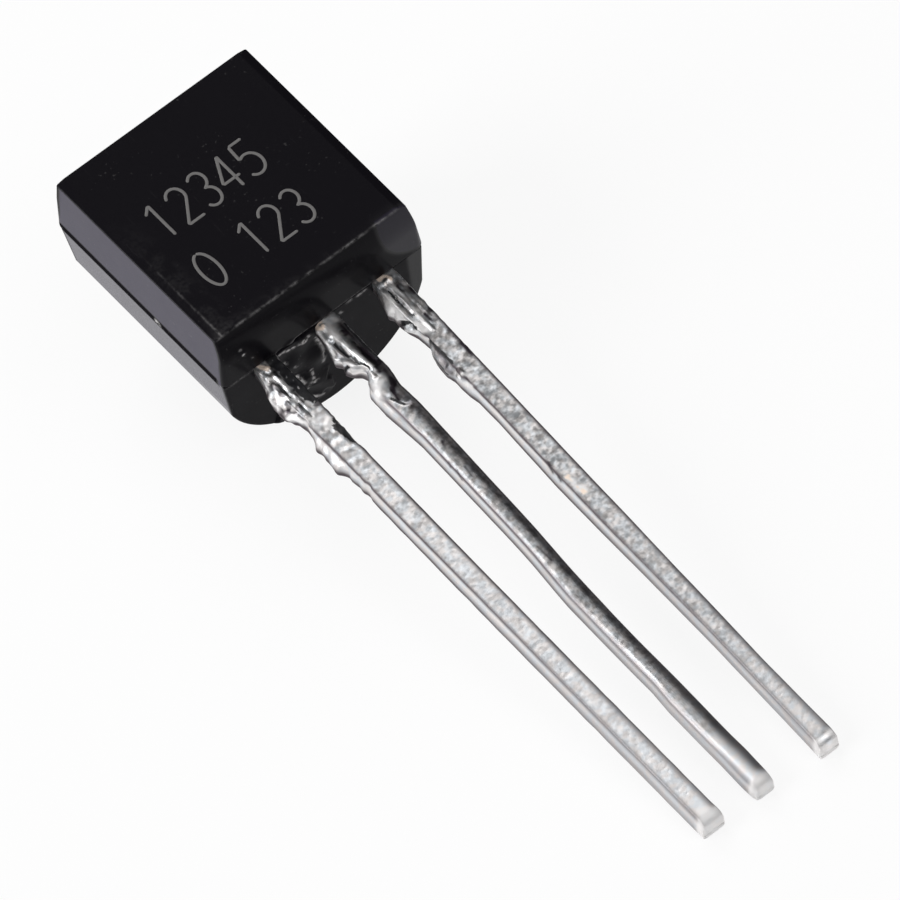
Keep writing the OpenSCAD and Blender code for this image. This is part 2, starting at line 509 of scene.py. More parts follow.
class Effects:
    """The shared effects, each built once as a node group.

    Attributes:
        PATCHES: Patches that the dust gathers in.
        SPECKS: Specks of dust.
        HAIRLINES: Hairlines, which are stretched specks.
        HAIRLINE_STRETCH: How they are stretched.
        HAIRLINE_TURN: How they are turned, in radians.
        CELLS: Scale of the crystals.
        CELL_SHARE: Their share of the mottle's height. The clouds have the rest.
        CLOUDS: Scale and detail of the mottle's clouds.
        FINE: Scale and detail of its finer clouds.
        TONES: Values of the two clouds' mean that give the lowest and highest tone.
        STREAKS: Streaks along drawn metal.
        STREAK_STRETCH: How they are stretched.
    """

    PATCHES = Grain(1.3, 1.0, 0.42, 0.62)
    SPECKS = Grain(14.0, 1.0, 0.68, 0.76)
    HAIRLINES = Grain(2.0, 2.0, 0.70, 0.74)
    HAIRLINE_STRETCH = (9.0, 0.7, 2.0)
    HAIRLINE_TURN = (0, 0, 0.9)
    CELLS = 12.0
    CELL_SHARE = 0.6
    CLOUDS = (4.0, 2.0)
    FINE = (11.0, 1.0)
    TONES = (0.36, 0.64)
    STREAKS = Grain(1.0, 3.0, 0.3, 0.7)
    STREAK_STRETCH = (16.0, 0.35, 16.0)

    def __init__(self) -> None:
        """Builds the groups."""
        self.dust = self._dust()
        self.mottle = self._mottle()
        self.streaks = self._streaks()

    def _dust(self) -> bpy.types.NodeTree:
        """Makes fine specks that gather in patches, and a few hairlines.

        Returns:
            The group, which takes Vector and Amount and gives Specks and Hairlines.
        """
        kinds = {"Vector": "Vector", "Amount": "Float"}
        nodes, source, sink = new_group("dust_and_hairlines", kinds, ("Specks", "Hairlines"))
        vector, amount = source["Vector"], source["Amount"]
        specks = nodes.times(nodes.grain(vector, self.SPECKS), nodes.grain(vector, self.PATCHES))
        stretched = nodes.scaled(vector, self.HAIRLINE_STRETCH, self.HAIRLINE_TURN)
        lines = nodes.grain(stretched, self.HAIRLINES)
        nodes.wire(sink, {"Specks": nodes.times(specks, amount), "Hairlines": nodes.times(lines, amount)})
        return nodes.tree

    def _mottle(self) -> bpy.types.NodeTree:
        """Makes cloudy crystals: cells of even tone under finer noise.

        Returns:
            The group, which takes Vector and gives Tone and Height.
        """
        nodes, source, sink = new_group("crystal_mottle", {"Vector": "Vector"}, ("Tone", "Height"))
        vector = source["Vector"]
        inputs = {"Vector": vector, "Scale": self.CELLS}
        cells = nodes.add("TexVoronoi", inputs, feature="SMOOTH_F1").outputs[0]
        cloud = nodes.noise(vector, *self.CLOUDS)
        fine = nodes.noise(vector, *self.FINE)
        tone = nodes.plus(nodes.times(cloud, 0.5), nodes.times(fine, 0.5))
        height = nodes.plus(nodes.times(cells, self.CELL_SHARE), nodes.times(cloud, 1 - self.CELL_SHARE))
        nodes.wire(sink, {"Tone": nodes.ramp(tone, *self.TONES), "Height": height})
        return nodes.tree

    def _streaks(self) -> bpy.types.NodeTree:
        """Makes lengthwise streaks, as a die leaves them on drawn or sheared metal.

        Returns:
            The group, which takes Vector and gives Tone.
        """
        nodes, source, sink = new_group("drawn_streaks", {"Vector": "Vector"}, ("Tone",))
        vector = nodes.scaled(source["Vector"], self.STREAK_STRETCH)
        nodes.wire(sink, {"Tone": nodes.grain(vector, self.STREAKS)})
        return nodes.tree


def new_material(name: str, package: PackageFrame) -> tuple:
    """Starts a material.

    Args:
        name: Name of the material.
        package: The frame whose millimetres the patterns are laid out in.

    Returns:
        The material, its node builder, its Principled BSDF and the package coordinates.
    """
    material = bpy.data.materials.new(name)
    material.use_nodes = True
    nodes = Nodes(material.node_tree)
    shader = material.node_tree.nodes["Principled BSDF"]
    turn = Matrix.Rotation(-package.tilt, 3, "X")
    inputs = {
        "Vector": nodes.add("TexCoord").outputs["Object"],
        "Location": -(turn @ Vector(package.origin / MM)),
        "Rotation": (-package.tilt, 0, 0),
        "Scale": (1 / MM,) * 3,
    }
    return material, nodes, shader, nodes.add("Mapping", inputs).outputs[0]


@dataclass(frozen=True)
class MouldedEpoxy:
    """Black filled epoxy: matt on the flat and the lead end, polished on the side walls with painted sheen.

    Attributes:
        colour: Of the matt faces.
        wear_and_highlight_colour: Of scratches, dust, painted glints, and the rubbed creases and seam
            edges, which also carry painted highlights.
        wall_sheen_colour: Of the polished walls, lighter and more violet than the matt faces as painted
            sheen.
        polished_gloss: Gloss over which the colour turns to the walls' painted sheen colour.
        dead_gloss: Gloss under which the skin turns dead matt.
        alive_level: Level of gloss or tearing from which no skin is dead matt.
        grit: Pattern that breaks up the wear.
        painted_glints: Pattern of the glints painted on the torn skin as lighter facets.
        dust: Amount of dust.
        glint_mark: How strongly a painted glint shows.
        speck_mark: How strongly a speck of dust shows.
        hairline_mark: How strongly a hairline shows.
        matt_specular: Specular level under the polish.
        roughness: Lowest and highest roughness of the clean skin.
        clouds: Scale and detail of the clouds in its roughness.
        worn_roughness: Roughness that wear, dust and the painted highlights and glints add, and that dead
            matt skin adds.
        coat_roughness: Roughness of the polish.
        coat_ior: Refractive index of the polish.
        relief: Height of the whole relief, in millimetres.
        torn: Scale and detail of the torn skin's relief.
        torn_relief: Share of the whole relief on the torn skin.
        skin: Scale and detail of the relief that is everywhere.
        skin_relief: Share of the whole relief everywhere.
    """

    colour: tuple = (0.0044, 0.0038, 0.0056, 1.0)
    wear_and_highlight_colour: tuple = (0.80, 0.78, 0.78, 1.0)
    wall_sheen_colour: tuple = (0.027, 0.022, 0.046, 1.0)
    polished_gloss: tuple = (0.27, 0.35)
    dead_gloss: float = 0.01
    alive_level: float = 0.9
    grit: Grain = Grain(14.0, 2.0, 0.25, 0.65)
    painted_glints: Grain = Grain(7.0, 3.0, 0.56, 0.68)
    dust: float = 0.55
    glint_mark: float = 0.010
    speck_mark: float = 0.055
    hairline_mark: float = 0.008
    matt_specular: float = 0.03
    roughness: tuple = (0.35, 0.5)
    clouds: tuple = (2.2, 3.0)
    worn_roughness: float = 0.4
    coat_roughness: float = 0.16
    coat_ior: float = 1.75
    relief: float = 0.03
    torn: tuple = (4.0, 2.0)
    torn_relief: float = 0.3
    skin: tuple = (40.0, 2.0)
    skin_relief: float = 0.05

    def material(self, effects: Effects, package: PackageFrame) -> bpy.types.Material:
        """Builds the material, which reads the mesh's wear and highlight, broken and gloss masks.

        Args:
            effects: The shared node groups.
            package: The frame that the patterns follow.

        Returns:
            The material.
        """
        made, nodes, shader, vector = new_material("moulded_epoxy", package)
        gloss, broken = nodes.mask("gloss"), nodes.mask("broken")
        dust = nodes.effect(effects.dust, Vector=vector, Amount=self.dust)
        # Lighter facets on the torn skin: painted glints.
        painted_glints = nodes.times(broken, nodes.grain(vector, self.painted_glints))
        # The wear mask is bare grey, and also painted highlight along the flat's creases and the seam's
        # edges.
        marks = nodes.times(nodes.mask("wear_and_highlights"), nodes.grain(vector, self.grit))
        marks = nodes.plus(marks, nodes.times(painted_glints, self.glint_mark))
        marks = nodes.plus(marks, nodes.times(dust["Specks"], self.speck_mark))
        marks = nodes.plus(marks, nodes.times(dust["Hairlines"], self.hairline_mark))
        # The polished walls take a lighter, violet colour: painted sheen.
        clean = nodes.mix(nodes.ramp(gloss, *self.polished_gloss), self.colour, self.wall_sheen_colour)
        alive = nodes.plus(nodes.ramp(gloss, 0.0, self.dead_gloss), broken)
        dead_matt = nodes.opposite(nodes.ramp(alive, 0.0, self.alive_level))
        rough = nodes.span(nodes.noise(vector, *self.clouds), *self.roughness)
        for pattern in (marks, dead_matt):
            rough = nodes.plus(rough, nodes.times(pattern, self.worn_roughness))
        torn = nodes.times(nodes.times(nodes.noise(vector, *self.torn), broken), self.torn_relief)
        skin = nodes.times(nodes.noise(vector, *self.skin), self.skin_relief)
        nodes.wire(shader, {
            "Base Color": nodes.mix(marks, clean, self.wear_and_highlight_colour),
            "Roughness": rough,
            "Normal": nodes.bump(nodes.plus(skin, torn), self.relief),
            "Coat Weight": gloss,
            "Coat Roughness": self.coat_roughness,
            "Coat IOR": self.coat_ior,
            "Specular IOR Level": self.matt_specular,
        })
        return made


@dataclass(frozen=True)
class TinPlating:
    """Tin over copper alloy: mottled on top, streaked along its sheared sides.

    Attributes:
        name: Name of the material.
        dark: Level of the mottle's dark tone.
        bright: Level of its bright tone, and of plain tin.
        relief: Height of the mottle, in millimetres.
        side: Levels of the streaks on the sides.
        warm: Warmer tint of the tin.
        cool: Cooler tint of the tin.
        tints: Pattern that shares out the two tints.
        copper: Colour of the copper where it shows.
        painted_edge_shade: Colour of the shade painted along the rounded edges.
        stain_and_shade: Colour of dark stains and of painted shade.
        painted_highlight: Colour of the highlights painted on the tin.
        resin: Colour of the moulding's resin.
        flecks: Pattern of the gaps in the resin.
        fleck_stretch: How the gaps are stretched along the lead.
        highlight_dullness: How far the painted highlights and the copper lose their metal shine.
        mottle_roughness: Roughness that the mottle's bright tone adds.
        edge_roughness: Roughness that the painted edge shade adds.
    """

    name: str
    dark: float
    bright: float
    relief: float
    side: tuple = (0.84, 1.0)
    warm: tuple = (1.0, 0.96, 0.945, 1.0)
    cool: tuple = (0.935, 0.965, 1.0, 1.0)
    tints: Grain = Grain(6.0, 1.0, 0.35, 0.65)
    copper: tuple = (1.0, 0.83, 0.70, 1.0)
    painted_edge_shade: tuple = (0.11, 0.092, 0.10, 1.0)
    stain_and_shade: tuple = (0.035, 0.028, 0.036, 1.0)
    painted_highlight: tuple = (0.90, 0.885, 0.88, 1.0)
    resin: tuple = (0.010, 0.010, 0.012, 1.0)
    flecks: Grain = Grain(11.0, 2.0, 0.60, 0.68)
    fleck_stretch: tuple = (1.0, 0.5, 1.0)
    highlight_dullness: float = 0.75
    mottle_roughness: float = 0.06
    edge_roughness: float = 0.25

    def material(self, effects: Effects, package: PackageFrame) -> bpy.types.Material:
        """Builds the material, which reads the masks and the roughness of the mesh.

        Args:
            effects: The shared node groups.
            package: The frame that the patterns follow.

        Returns:
            The material.
        """
        made, nodes, shader, vector = new_material(self.name, package)
        crystals = nodes.effect(effects.mottle, Vector=vector)
        drawn = nodes.effect(effects.streaks, Vector=vector)
        # In turn: shade painted along the rounded edges, stains with shade painted in folds and grooves,
        # white painted highlights, and copper.
        covers = {"edge": self.painted_edge_shade, "stain_and_shade": self.stain_and_shade, "painted_highlight": self.painted_highlight, "copper": self.copper}
        masks = {name: nodes.mask(name) for name in covers}
        mottled = nodes.span(crystals["Tone"], self.dark, self.bright)
        top = nodes.mix(nodes.mask("mottle"), grey(self.bright), mottled)
        level = nodes.mix(nodes.mask("side"), top, nodes.span(drawn["Tone"], *self.side))
        tint = nodes.mix(nodes.grain(vector, self.tints), self.warm, self.cool)
        colour = nodes.mix(1.0, tint, level, "MULTIPLY")
        for name, cover in covers.items():
            colour = nodes.mix(masks[name], colour, cover)
        gaps = nodes.grain(nodes.scaled(vector, self.fleck_stretch), self.flecks)
        resin = nodes.times(nodes.mask("resin"), nodes.opposite(gaps))
        dull = nodes.times(nodes.larger(masks["painted_highlight"], masks["copper"]), self.highlight_dullness)
        rough = nodes.plus(nodes.mask("roughness"), nodes.times(crystals["Tone"], self.mottle_roughness))
        nodes.wire(shader, {
            "Base Color": nodes.mix(resin, colour, self.resin),
            "Metallic": nodes.opposite(nodes.larger(resin, dull)),
            "Roughness": nodes.plus(rough, nodes.times(masks["edge"], self.edge_roughness)),
            "Normal": nodes.bump(crystals["Height"], self.relief),
        })
        return made


@dataclass(frozen=True)
class PlainFinish:
    """A finish of one colour with a fine, even variation.

    Attributes:
        name: Name of the material.
        colour: Its colour.
        metallic: Its share of metal.
        roughness: Its lowest roughness.
        darker: What the colour is multiplied by where it is darkest.
        dark_share: How much of that darker colour there is at most.
        rougher: What the roughness rises by where it is highest.
        tones: Scale and detail of the variation in colour.
        clouds: Scale and detail of the variation in roughness.
    """

    name: str
    colour: tuple
    metallic: float
    roughness: float
    darker: float = 0.6
    dark_share: float = 0.35
    rougher: float = 0.13
    tones: tuple = (30.0, 2.0)
    clouds: tuple = (12.0, 2.0)

    def material(self, package: PackageFrame) -> bpy.types.Material:
        """Builds the material.

        Args:
            package: The frame that the patterns follow.

        Returns:
            The material.
        """
        made, nodes, shader, vector = new_material(self.name, package)
        tone = nodes.span(nodes.noise(vector, *self.tones), 0.0, self.dark_share)
        cloud = nodes.noise(vector, *self.clouds)
        dark = (*(self.darker * part for part in self.colour[:3]), 1.0)
        nodes.wire(shader, {
            "Base Color": nodes.mix(tone, self.colour, dark),
            "Roughness": nodes.span(cloud, self.roughness, self.roughness + self.rougher),
            "Metallic": self.metallic,
        })
        return made


# ---------------------------------------------------------------- the moulding


@dataclass(frozen=True)
class Polish:
    """How polished the moulding is: shares of full polish, and places in millimetres.

    Attributes:
        skin: Share on the flat.
        lead_end: What the front half's lead end has more than the flat, and the back half's less.
        end_fade: Distances from either end over which the walls' polish sets in.
        front_wall: Share on the front half's side walls.
        back_wall: Share on the back half's side walls.
        rim: What the rim low on the back half has more.
        rim_depth: Depths under the seam over which the rim sets in.
        rim_reach: Distances from the lead end over which the rim fades out.
        patch: What the patch at the pin 3 corner of the lead end has more.
        patch_middle: X and Z of the middle of the circle that bounds the patch.
        patch_radius: Radius of that circle.
        patch_side: X where the patch starts on the back half.
        face_depth: Distances from the lead end over which what is said of it fades out.
        seam_band: Heights between which the seam is dull.
    """

    skin: float = 0.04
    lead_end: float = 0.03
    end_fade: tuple = (0.03, 0.13)
    front_wall: float = 0.36
    back_wall: float = 0.50
    rim: float = 0.35
    rim_depth: tuple = (0.84, 0.97)
    rim_reach: tuple = (0.1, 1.8)
    patch: float = 0.23
    patch_middle: tuple = (2.3, 0.95)
    patch_radius: float = 1.0
    patch_side: float = 1.75
    face_depth: tuple = (0.2, 0.4)
    seam_band: tuple = (-0.12, 0.16)


@dataclass(frozen=True)
class WearAndHighlights:
    """How worn the moulding is, and where highlights are painted on it: shares of bare grey, and places in
    millimetres.

    Attributes:
        lead_crease: Share of wear and painted highlight on the flat's crease beside the leads, and its
            reach.
        pin_crease: Share of wear and painted highlight on the flat's crease on the pin 1 side, and its
            reach.
        pin_crease_fade: Distances from the lead end over which that crease fades out.
        haze: Share of the haze beside the two creases.
        scratch: What the scratches' own strengths are multiplied by.
        seam: Share of wear and painted highlight on the seam's edges.
        face_depth: Distances from the lead end over which its scratches stop.
    """

    lead_crease: tuple = (0.11, 0.02)
    pin_crease: tuple = (0.12, 0.018)
    pin_crease_fade: tuple = (0.3, 2.6)
    haze: float = 0.010
    scratch: float = 1.35
    seam: float = 0.2
    face_depth: tuple = (0.3, 0.4)


@dataclass
class Moulding:
    """The moulded body: a drafted front half with a flat, and a round back half.

    The fields are millimetres and degrees, as in the solid that it stands for.

    Attributes:
        width: Width at the seam.
        length: Length at the seam.
        front_depth: Depth of the front half, from the flat to the seam.
        back_depth: Depth of the back half.
        front_draft: Draft of the front half's walls.
        back_draft: Draft of the back half's walls.
        seam_step: How far the back half stands in at the seam.
        wall_depth: Depth of the back half's straight walls.
        corner_radius: Radius of the front half's upright corners at the seam.
        flat_corner_radius: Their radius near the flat.
        back_corner_radius: Radius of the back half's corners.
        bevel_width: Width of the bevel round the flat.
        bevel_drop: How far the bevel falls.
        nose_depth: Height of the curve on the front half's lead end.
        nose_radius: Radius of that curve.
        fillet: Where the rounding of an edge starts, from the edge.
        groove: Depth of the groove along the seam.
        groove_floor: Height of the groove's floor above and below the seam.
        groove_lip: Height of the groove's lips above and below the seam.
        broken_x: Where the torn skin lies in X.
        broken_z: Where the torn skin lies in Z.
        broken_depth: Distances from the lead end over which it stops.
        ragged: How ragged its outline is.
        gate_stand_out: How far the torn skin stands out.
        polish: Where the moulding is polished.
        worn_and_lit: Where it is worn, and where highlights are painted on its creases and seam.
        scratches: Marks on the lead end, in X and Z: in the torn skin, along the seam beside
            it, by lead 1's root and beyond lead 2.
        side_chips: Marks on the pin 1 side wall, in Y and Z.
        ring_step: Longest step from ring to ring.
        side_steps: Points along the lead end, the two side walls and the far end.
        corner_steps: Stretches in each upright corner.
    """

    width: float = 4.35
    length: float = 4.7
    front_depth: float = 1.2
    back_depth: float = 2.55
    front_draft: float = 6.0
    back_draft: float = 4.6
    seam_step: float = 0.035
    wall_depth: float = 1.05
    corner_radius: float = 0.15
    flat_corner_radius: float = 0.03
    back_corner_radius: float = 0.05
    bevel_width: float = 0.16
    bevel_drop: float = 0.04
    nose_depth: float = 0.6
    nose_radius: float = 1.2
    fillet: float = 0.022
    groove: float = 0.06
    groove_floor: float = 0.018
    groove_lip: float = 0.030
    broken_x: tuple = (-1.15, -0.12)
    broken_z: tuple = (-2.25, -0.03)
    broken_depth: tuple = (0.25, 0.35)
    ragged: float = 0.06
    gate_stand_out: float = 0.07
    polish: Polish = Polish()
    worn_and_lit: WearAndHighlights = WearAndHighlights()
    scratches: tuple = strokes(
        (0.8, 0.026, (-0.65, -1.94), (-0.25, -2.27)),
        (0.5, 0.024, (-0.73, -1.38), (-0.76, -1.67)),
        (0.6, 0.024, (-0.89, -1.02), (-0.86, -1.18)),
        (0.7, 0.024, (-0.71, -1.16), (-0.61, -1.45)),
        (0.6, 0.026, (-0.43, -1.22), (-0.42, -1.62)),
        (0.5, 0.035, (-0.22, -0.43), (-0.13, -0.78), (-0.15, -1.26)),
        (0.3, 0.030, (-0.60, -1.75), (-0.50, -1.55), (-0.35, -1.60)),
        (0.9, 0.028, (-1.13, -0.09), (-1.11, -0.10)),
        (0.6, 0.028, (-1.00, -0.10), (-0.98, -0.10)),
        (0.7, 0.030, (-0.91, -0.11), (-0.89, -0.12)),
        (0.8, 0.030, (-0.82, -0.17), (-0.80, -0.18)),
        (0.7, 0.028, (-0.72, -0.19), (-0.70, -0.19)),
        (0.5, 0.028, (-0.60, -0.20), (-0.57, -0.21)),
        (2.0, 0.042, (-0.485, -0.23), (-0.475, -0.24)),
        (0.6, 0.030, (-0.39, -0.16), (-0.37, -0.17)),
        (0.3, 0.022, (-0.93, -0.45), (-0.88, -0.52)),
        (0.3, 0.022, (-0.75, -0.75), (-0.70, -0.83)),
        (1.3, 0.022, (-1.655, 0.575), (-1.65, 0.565)),
        (0.4, 0.020, (-1.70, 0.75), (-1.69, 0.73)),
        (0.2, 0.018, (-1.52, 0.35), (-1.50, 0.33)),
        (0.5, 0.026, (0.34, -0.22), (0.36, -0.25)),
        (0.5, 0.028, (0.72, -0.10), (0.90, -0.10)),
        (0.4, 0.026, (0.50, -0.08), (0.58, -0.08)),
    )
    side_chips: tuple = strokes((2.0, 0.040, (1.84, 0.07), (1.84, -0.02)))
    ring_step: float = 0.04
    side_steps: tuple = (150, 44, 40, 60)
    corner_steps: int = 8

    def flat_half_width(self) -> float:
        """Half width at the top of the front half's walls."""
        return self.width / 2 - self.front_depth * math.tan(math.radians(self.front_draft))

    def nose_inset(self, z: np.ndarray) -> np.ndarray:
        """Set-back of the front half's lead end at a height above the seam.

        Formula: none up to the curve's foot, then that of a circle of nose_radius.
        """
        rise = np.clip(z - (self.front_depth - self.nose_depth), 0, None)
        return self.nose_radius - np.sqrt(self.nose_radius**2 - rise**2)

    def front_path(self) -> np.ndarray:
        """Outline of the front half by height, from the flat's middle to the seam.

        Formula: the middle, the flat's edge, the bevel's foot, 13 steps down the nose, and
        the groove's lip and floor. The walls move out with the draft on the way down.

        Returns:
            Rows of half width, lead end, far end, height and corner radius.
        """
        slope = math.tan(math.radians(self.front_draft))
        top, edge = self.front_depth, self.front_depth - self.bevel_drop
        nose = np.linspace(edge, edge - self.nose_depth, 14)[1:]
        z = np.concatenate([[top, top, edge], nose, [self.groove_lip, self.groove_floor]])
        half = self.width / 2 - z * slope
        half[:2] = self.flat_half_width() - self.bevel_width
        half[-1] -= self.groove
        near = self.nose_inset(z)
        near[-1] += self.groove
        far = self.length - z * slope
        radius = np.interp(z, [0, 0.8], [self.corner_radius, self.flat_corner_radius])
        path = np.stack([half, near, far, z, radius], axis=-1)
        tiny, middle = 0.05, self.length / 2
        path[0] = [tiny, middle - tiny, middle + tiny, top, tiny / 5]
        return path

    def back_path(self) -> np.ndarray:
        """Outline of the back half by depth, from the seam to the back's deepest line.

        Formula: the groove's floor and lip, straight drafted walls down to wall_depth, then
        an arc through the walls' feet and the deepest line.

        Returns:
            Rows as in front_path.
        """
        slope = math.tan(math.radians(self.back_draft))
        foot = self.width / 2 - self.seam_step - self.wall_depth * slope
        rise = self.back_depth - self.wall_depth
        radius = (foot**2 + rise**2) / (2 * rise)
        angles = np.linspace(math.asin(min(1.0, foot / radius)), math.radians(0.4), 40)
        arch = radius - self.back_depth - radius * np.cos(angles)
        z = np.concatenate([[-self.groove_floor, -self.groove_lip], arch])
        half = np.concatenate([np.full(2, self.width / 2 - self.seam_step), radius * np.sin(angles)])
        half[0] -= self.groove - self.seam_step
        near = self.seam_step - z * slope
        near[0] += self.groove - self.seam_step
        corner = np.minimum(self.back_corner_radius, half * 0.8)
        return np.stack([half, near, self.length - near, z, corner], axis=-1)

    def outlines(self, path: np.ndarray) -> np.ndarray:
        """Turns path rows into rings: rectangles with round corners.

        Formula: four quarter circles joined by straight sides, counter-clockwise from the
        lead end.

        Args:
            path: Rows as in front_path.

        Returns:
            The rings, as rings x points x 3.
        """
        half, near, far, z, radius = path.T
        right, lead_end, far_end = half - radius, near + radius, far - radius
        corners = ((right, lead_end), (right, far_end), (-right, far_end), (-right, lead_end))
        quarter = np.linspace(0, math.pi / 2, self.corner_steps + 1)
        arcs = []
        for turn, corner in enumerate(corners):
            angle = quarter + (turn - 1) * math.pi / 2
            round_corner = np.stack([np.cos(angle), np.sin(angle)], axis=-1)
            arcs.append(np.stack(corner, axis=-1)[:, None] + radius[:, None, None] * round_corner)
        pieces = []
        for side, steps in enumerate(self.side_steps):
            start, end = arcs[side - 1][:, -1:], arcs[side][:, :1]
            share = (np.arange(1, steps + 1) / (steps + 1))[None, :, None]
            pieces += [start + (end - start) * share, arcs[side]]
        plan = np.concatenate(pieces, axis=1)
        heights = np.broadcast_to(z[:, None, None], (*plan.shape[:2], 1))
        return np.concatenate([plan, heights], axis=-1)

    def broken(self, points: np.ndarray) -> np.ndarray:
        """Tells the torn skin between the pin 1 and pin 2 leads from the rest of the surface.

        Formula: a window in X times a window in Z, both made ragged by noise, times a fade
        with the distance from the lead end.

        Args:
            points: Points in package millimetres.

        Returns:
            1 on the torn skin and 0 away from it.
        """
        x, y, z = np.moveaxis(points, -1, 0)
        ragged = self.ragged * ripple(points, 7, 1.0, 4.0)
        across = window(x + ragged, *self.broken_x, 0.08)
        down = window(z + ragged, *self.broken_z, 0.12)
        return across * down * fade(y, *self.broken_depth)

    def gloss(self, points: np.ndarray) -> np.ndarray:
        """Share of polish: high on the side walls and slight on the flat and the lead end.

        Formula: the side walls lie beyond a line that follows the draft, and their polish
        fades before both ends and before the flat. A rim low on the back half is brighter
        towards the leads. A patch on the lead end lies within a circle on the front half
        and beyond a line on the back half. The torn skin and a band at the seam are dull.

        Args:
            points: Points in package millimetres.

        Returns:
            The share at each point.
        """
        x, y, z = np.moveaxis(points, -1, 0)
        polish, front = self.polish, z > 0
        slope = np.tan(np.radians(np.where(front, self.front_draft, self.back_draft)))
        wall = self.width / 2 - np.abs(z) * slope - self.seam_step
        below = np.clip(-z - self.wall_depth, 0, None)
        side = np.maximum(step_up(np.abs(x) - wall, -0.02, -0.004), step_up(below, 0, 0.1))
        set_back = np.abs(z) * slope + self.seam_step * (z < 0)
        lead_face = np.where(front, self.nose_inset(z), set_back)
        for distance in (y - lead_face, self.length - set_back - y):
            side = side * step_up(distance, *polish.end_fade)
        side = side * fade(z, self.front_depth - 0.06, self.front_depth - 0.03)
        rim = step_up(-z, *polish.rim_depth) * fade(y, *polish.rim_reach)
        side = side * np.where(front, polish.front_wall, polish.back_wall + polish.rim * rim)
        face = fade(y, *polish.face_depth)
        middle_x, middle_z = polish.patch_middle
        past_circle = np.hypot(x - middle_x, z - middle_z) - polish.patch_radius
        past_patch = np.where(z > 0.02, past_circle, polish.patch_side - x)
        patch = polish.patch * fade(past_patch, -0.1, 0.0) * face
        lead_end = np.where(front, polish.lead_end, -polish.lead_end) * face
        seam = window(z, *polish.seam_band, 0.02) * (y > 0.2)
        share = np.clip(polish.skin + lead_end + side + patch, 0, 1)
        return share * (1 - np.maximum(self.broken(points), seam))

    def wear_and_highlights(self, points: np.ndarray) -> np.ndarray:
        """Grey wear: along creases of the flat and the seam, which are partly painted highlight, in
        scratches, and as haze.

        Formula: a narrow bell across each crease, made uneven by noise. The crease on the
        pin 1 side fades away from the leads, and the seam's edges show only in places. The
        haze is a wide bell beside each of the flat's two creases.

        Args:
            points: Points in package millimetres.

        Returns:
            The share of bare grey at each point.
        """
        x, y, z = np.moveaxis(points, -1, 0)
        worn_and_lit = self.worn_and_lit
        top = step_up(z, self.front_depth - 0.05, self.front_depth - 0.01)
        lead_line = self.nose_inset(np.array(self.front_depth))
        pin_line = self.bevel_width - self.flat_half_width()
        lead_side, lead_reach = worn_and_lit.lead_crease
        pin_side, pin_reach = worn_and_lit.pin_crease
        # The creases are partly wear and partly painted highlight along the flat's edges.
        creases = lead_side * bell(y, lead_line, lead_reach) * (np.abs(x) < self.flat_half_width())
        creases = creases + pin_side * bell(x, pin_line, pin_reach) * fade(y, *worn_and_lit.pin_crease_fade)
        creases = creases * np.clip(0.9 + 0.5 * ripple(points, 10, 1.0, 6.0), 0.2, 1.6)
        haze = bell(x, pin_line + 0.12, 0.22) * fade(y, 1.5, 3.8)
        haze = haze + bell(y, lead_line + 0.05, 0.12) * fade(x, -1.2, 1.6)
        haze = haze * np.clip(0.6 + ripple(points, 9, 1.0, 5.0), 0, 1)
        # The seam's edges carry bright dashes, partly wear and partly painted highlight.
        seam = bell(z, 0.035, 0.02) * window(x, -1.1, 1.7, 0.3)
        seam = seam + bell(z, -0.045, 0.02) * window(x, -2.1, -1.4, 0.1)
        seam = seam * np.clip(0.3 + ripple(points, 8, 0.5, 3.0), 0, 1)
        lead_end = worn_and_lit.scratch * total(self.scratches, x, z) + worn_and_lit.seam * seam
        lead_end = lead_end * fade(y, *worn_and_lit.face_depth)
        side_wall = total(self.side_chips, y, z) * (x < -0.9 * self.width / 2)
        return np.clip(top * (creases + worn_and_lit.haze * haze) + lead_end + side_wall, 0, 1)

    def build(self, package: PackageFrame) -> bpy.types.Object:
        """Builds the moulding as one closed surface, from the flat's middle to the back.

        The torn skin moves points of the lead end outwards by the gate's stand-out times a
        mask and broken noise.

        Args:
            package: The frame that places it.

        Returns:
            The piece.
        """
        path = np.vstack([self.front_path(), self.back_path()])
        path = refined(rounded_path(path, self.fillet, 4), self.ring_step)
        rings = self.outlines(path)
        torn = self.broken(rings)
        chips = 0.5 + 0.4 * ripple(rings, 5, 0.8, 2.0)
        rings[..., 1] -= torn * self.gate_stand_out * np.clip(chips, 0, 1)
        masks = {"wear_and_highlights": self.wear_and_highlights(rings), "broken": torn, "gloss": self.gloss(rings)}
        return closed_surface("moulding", rings, package, masks)


# ---------------------------------------------------------------- the leads


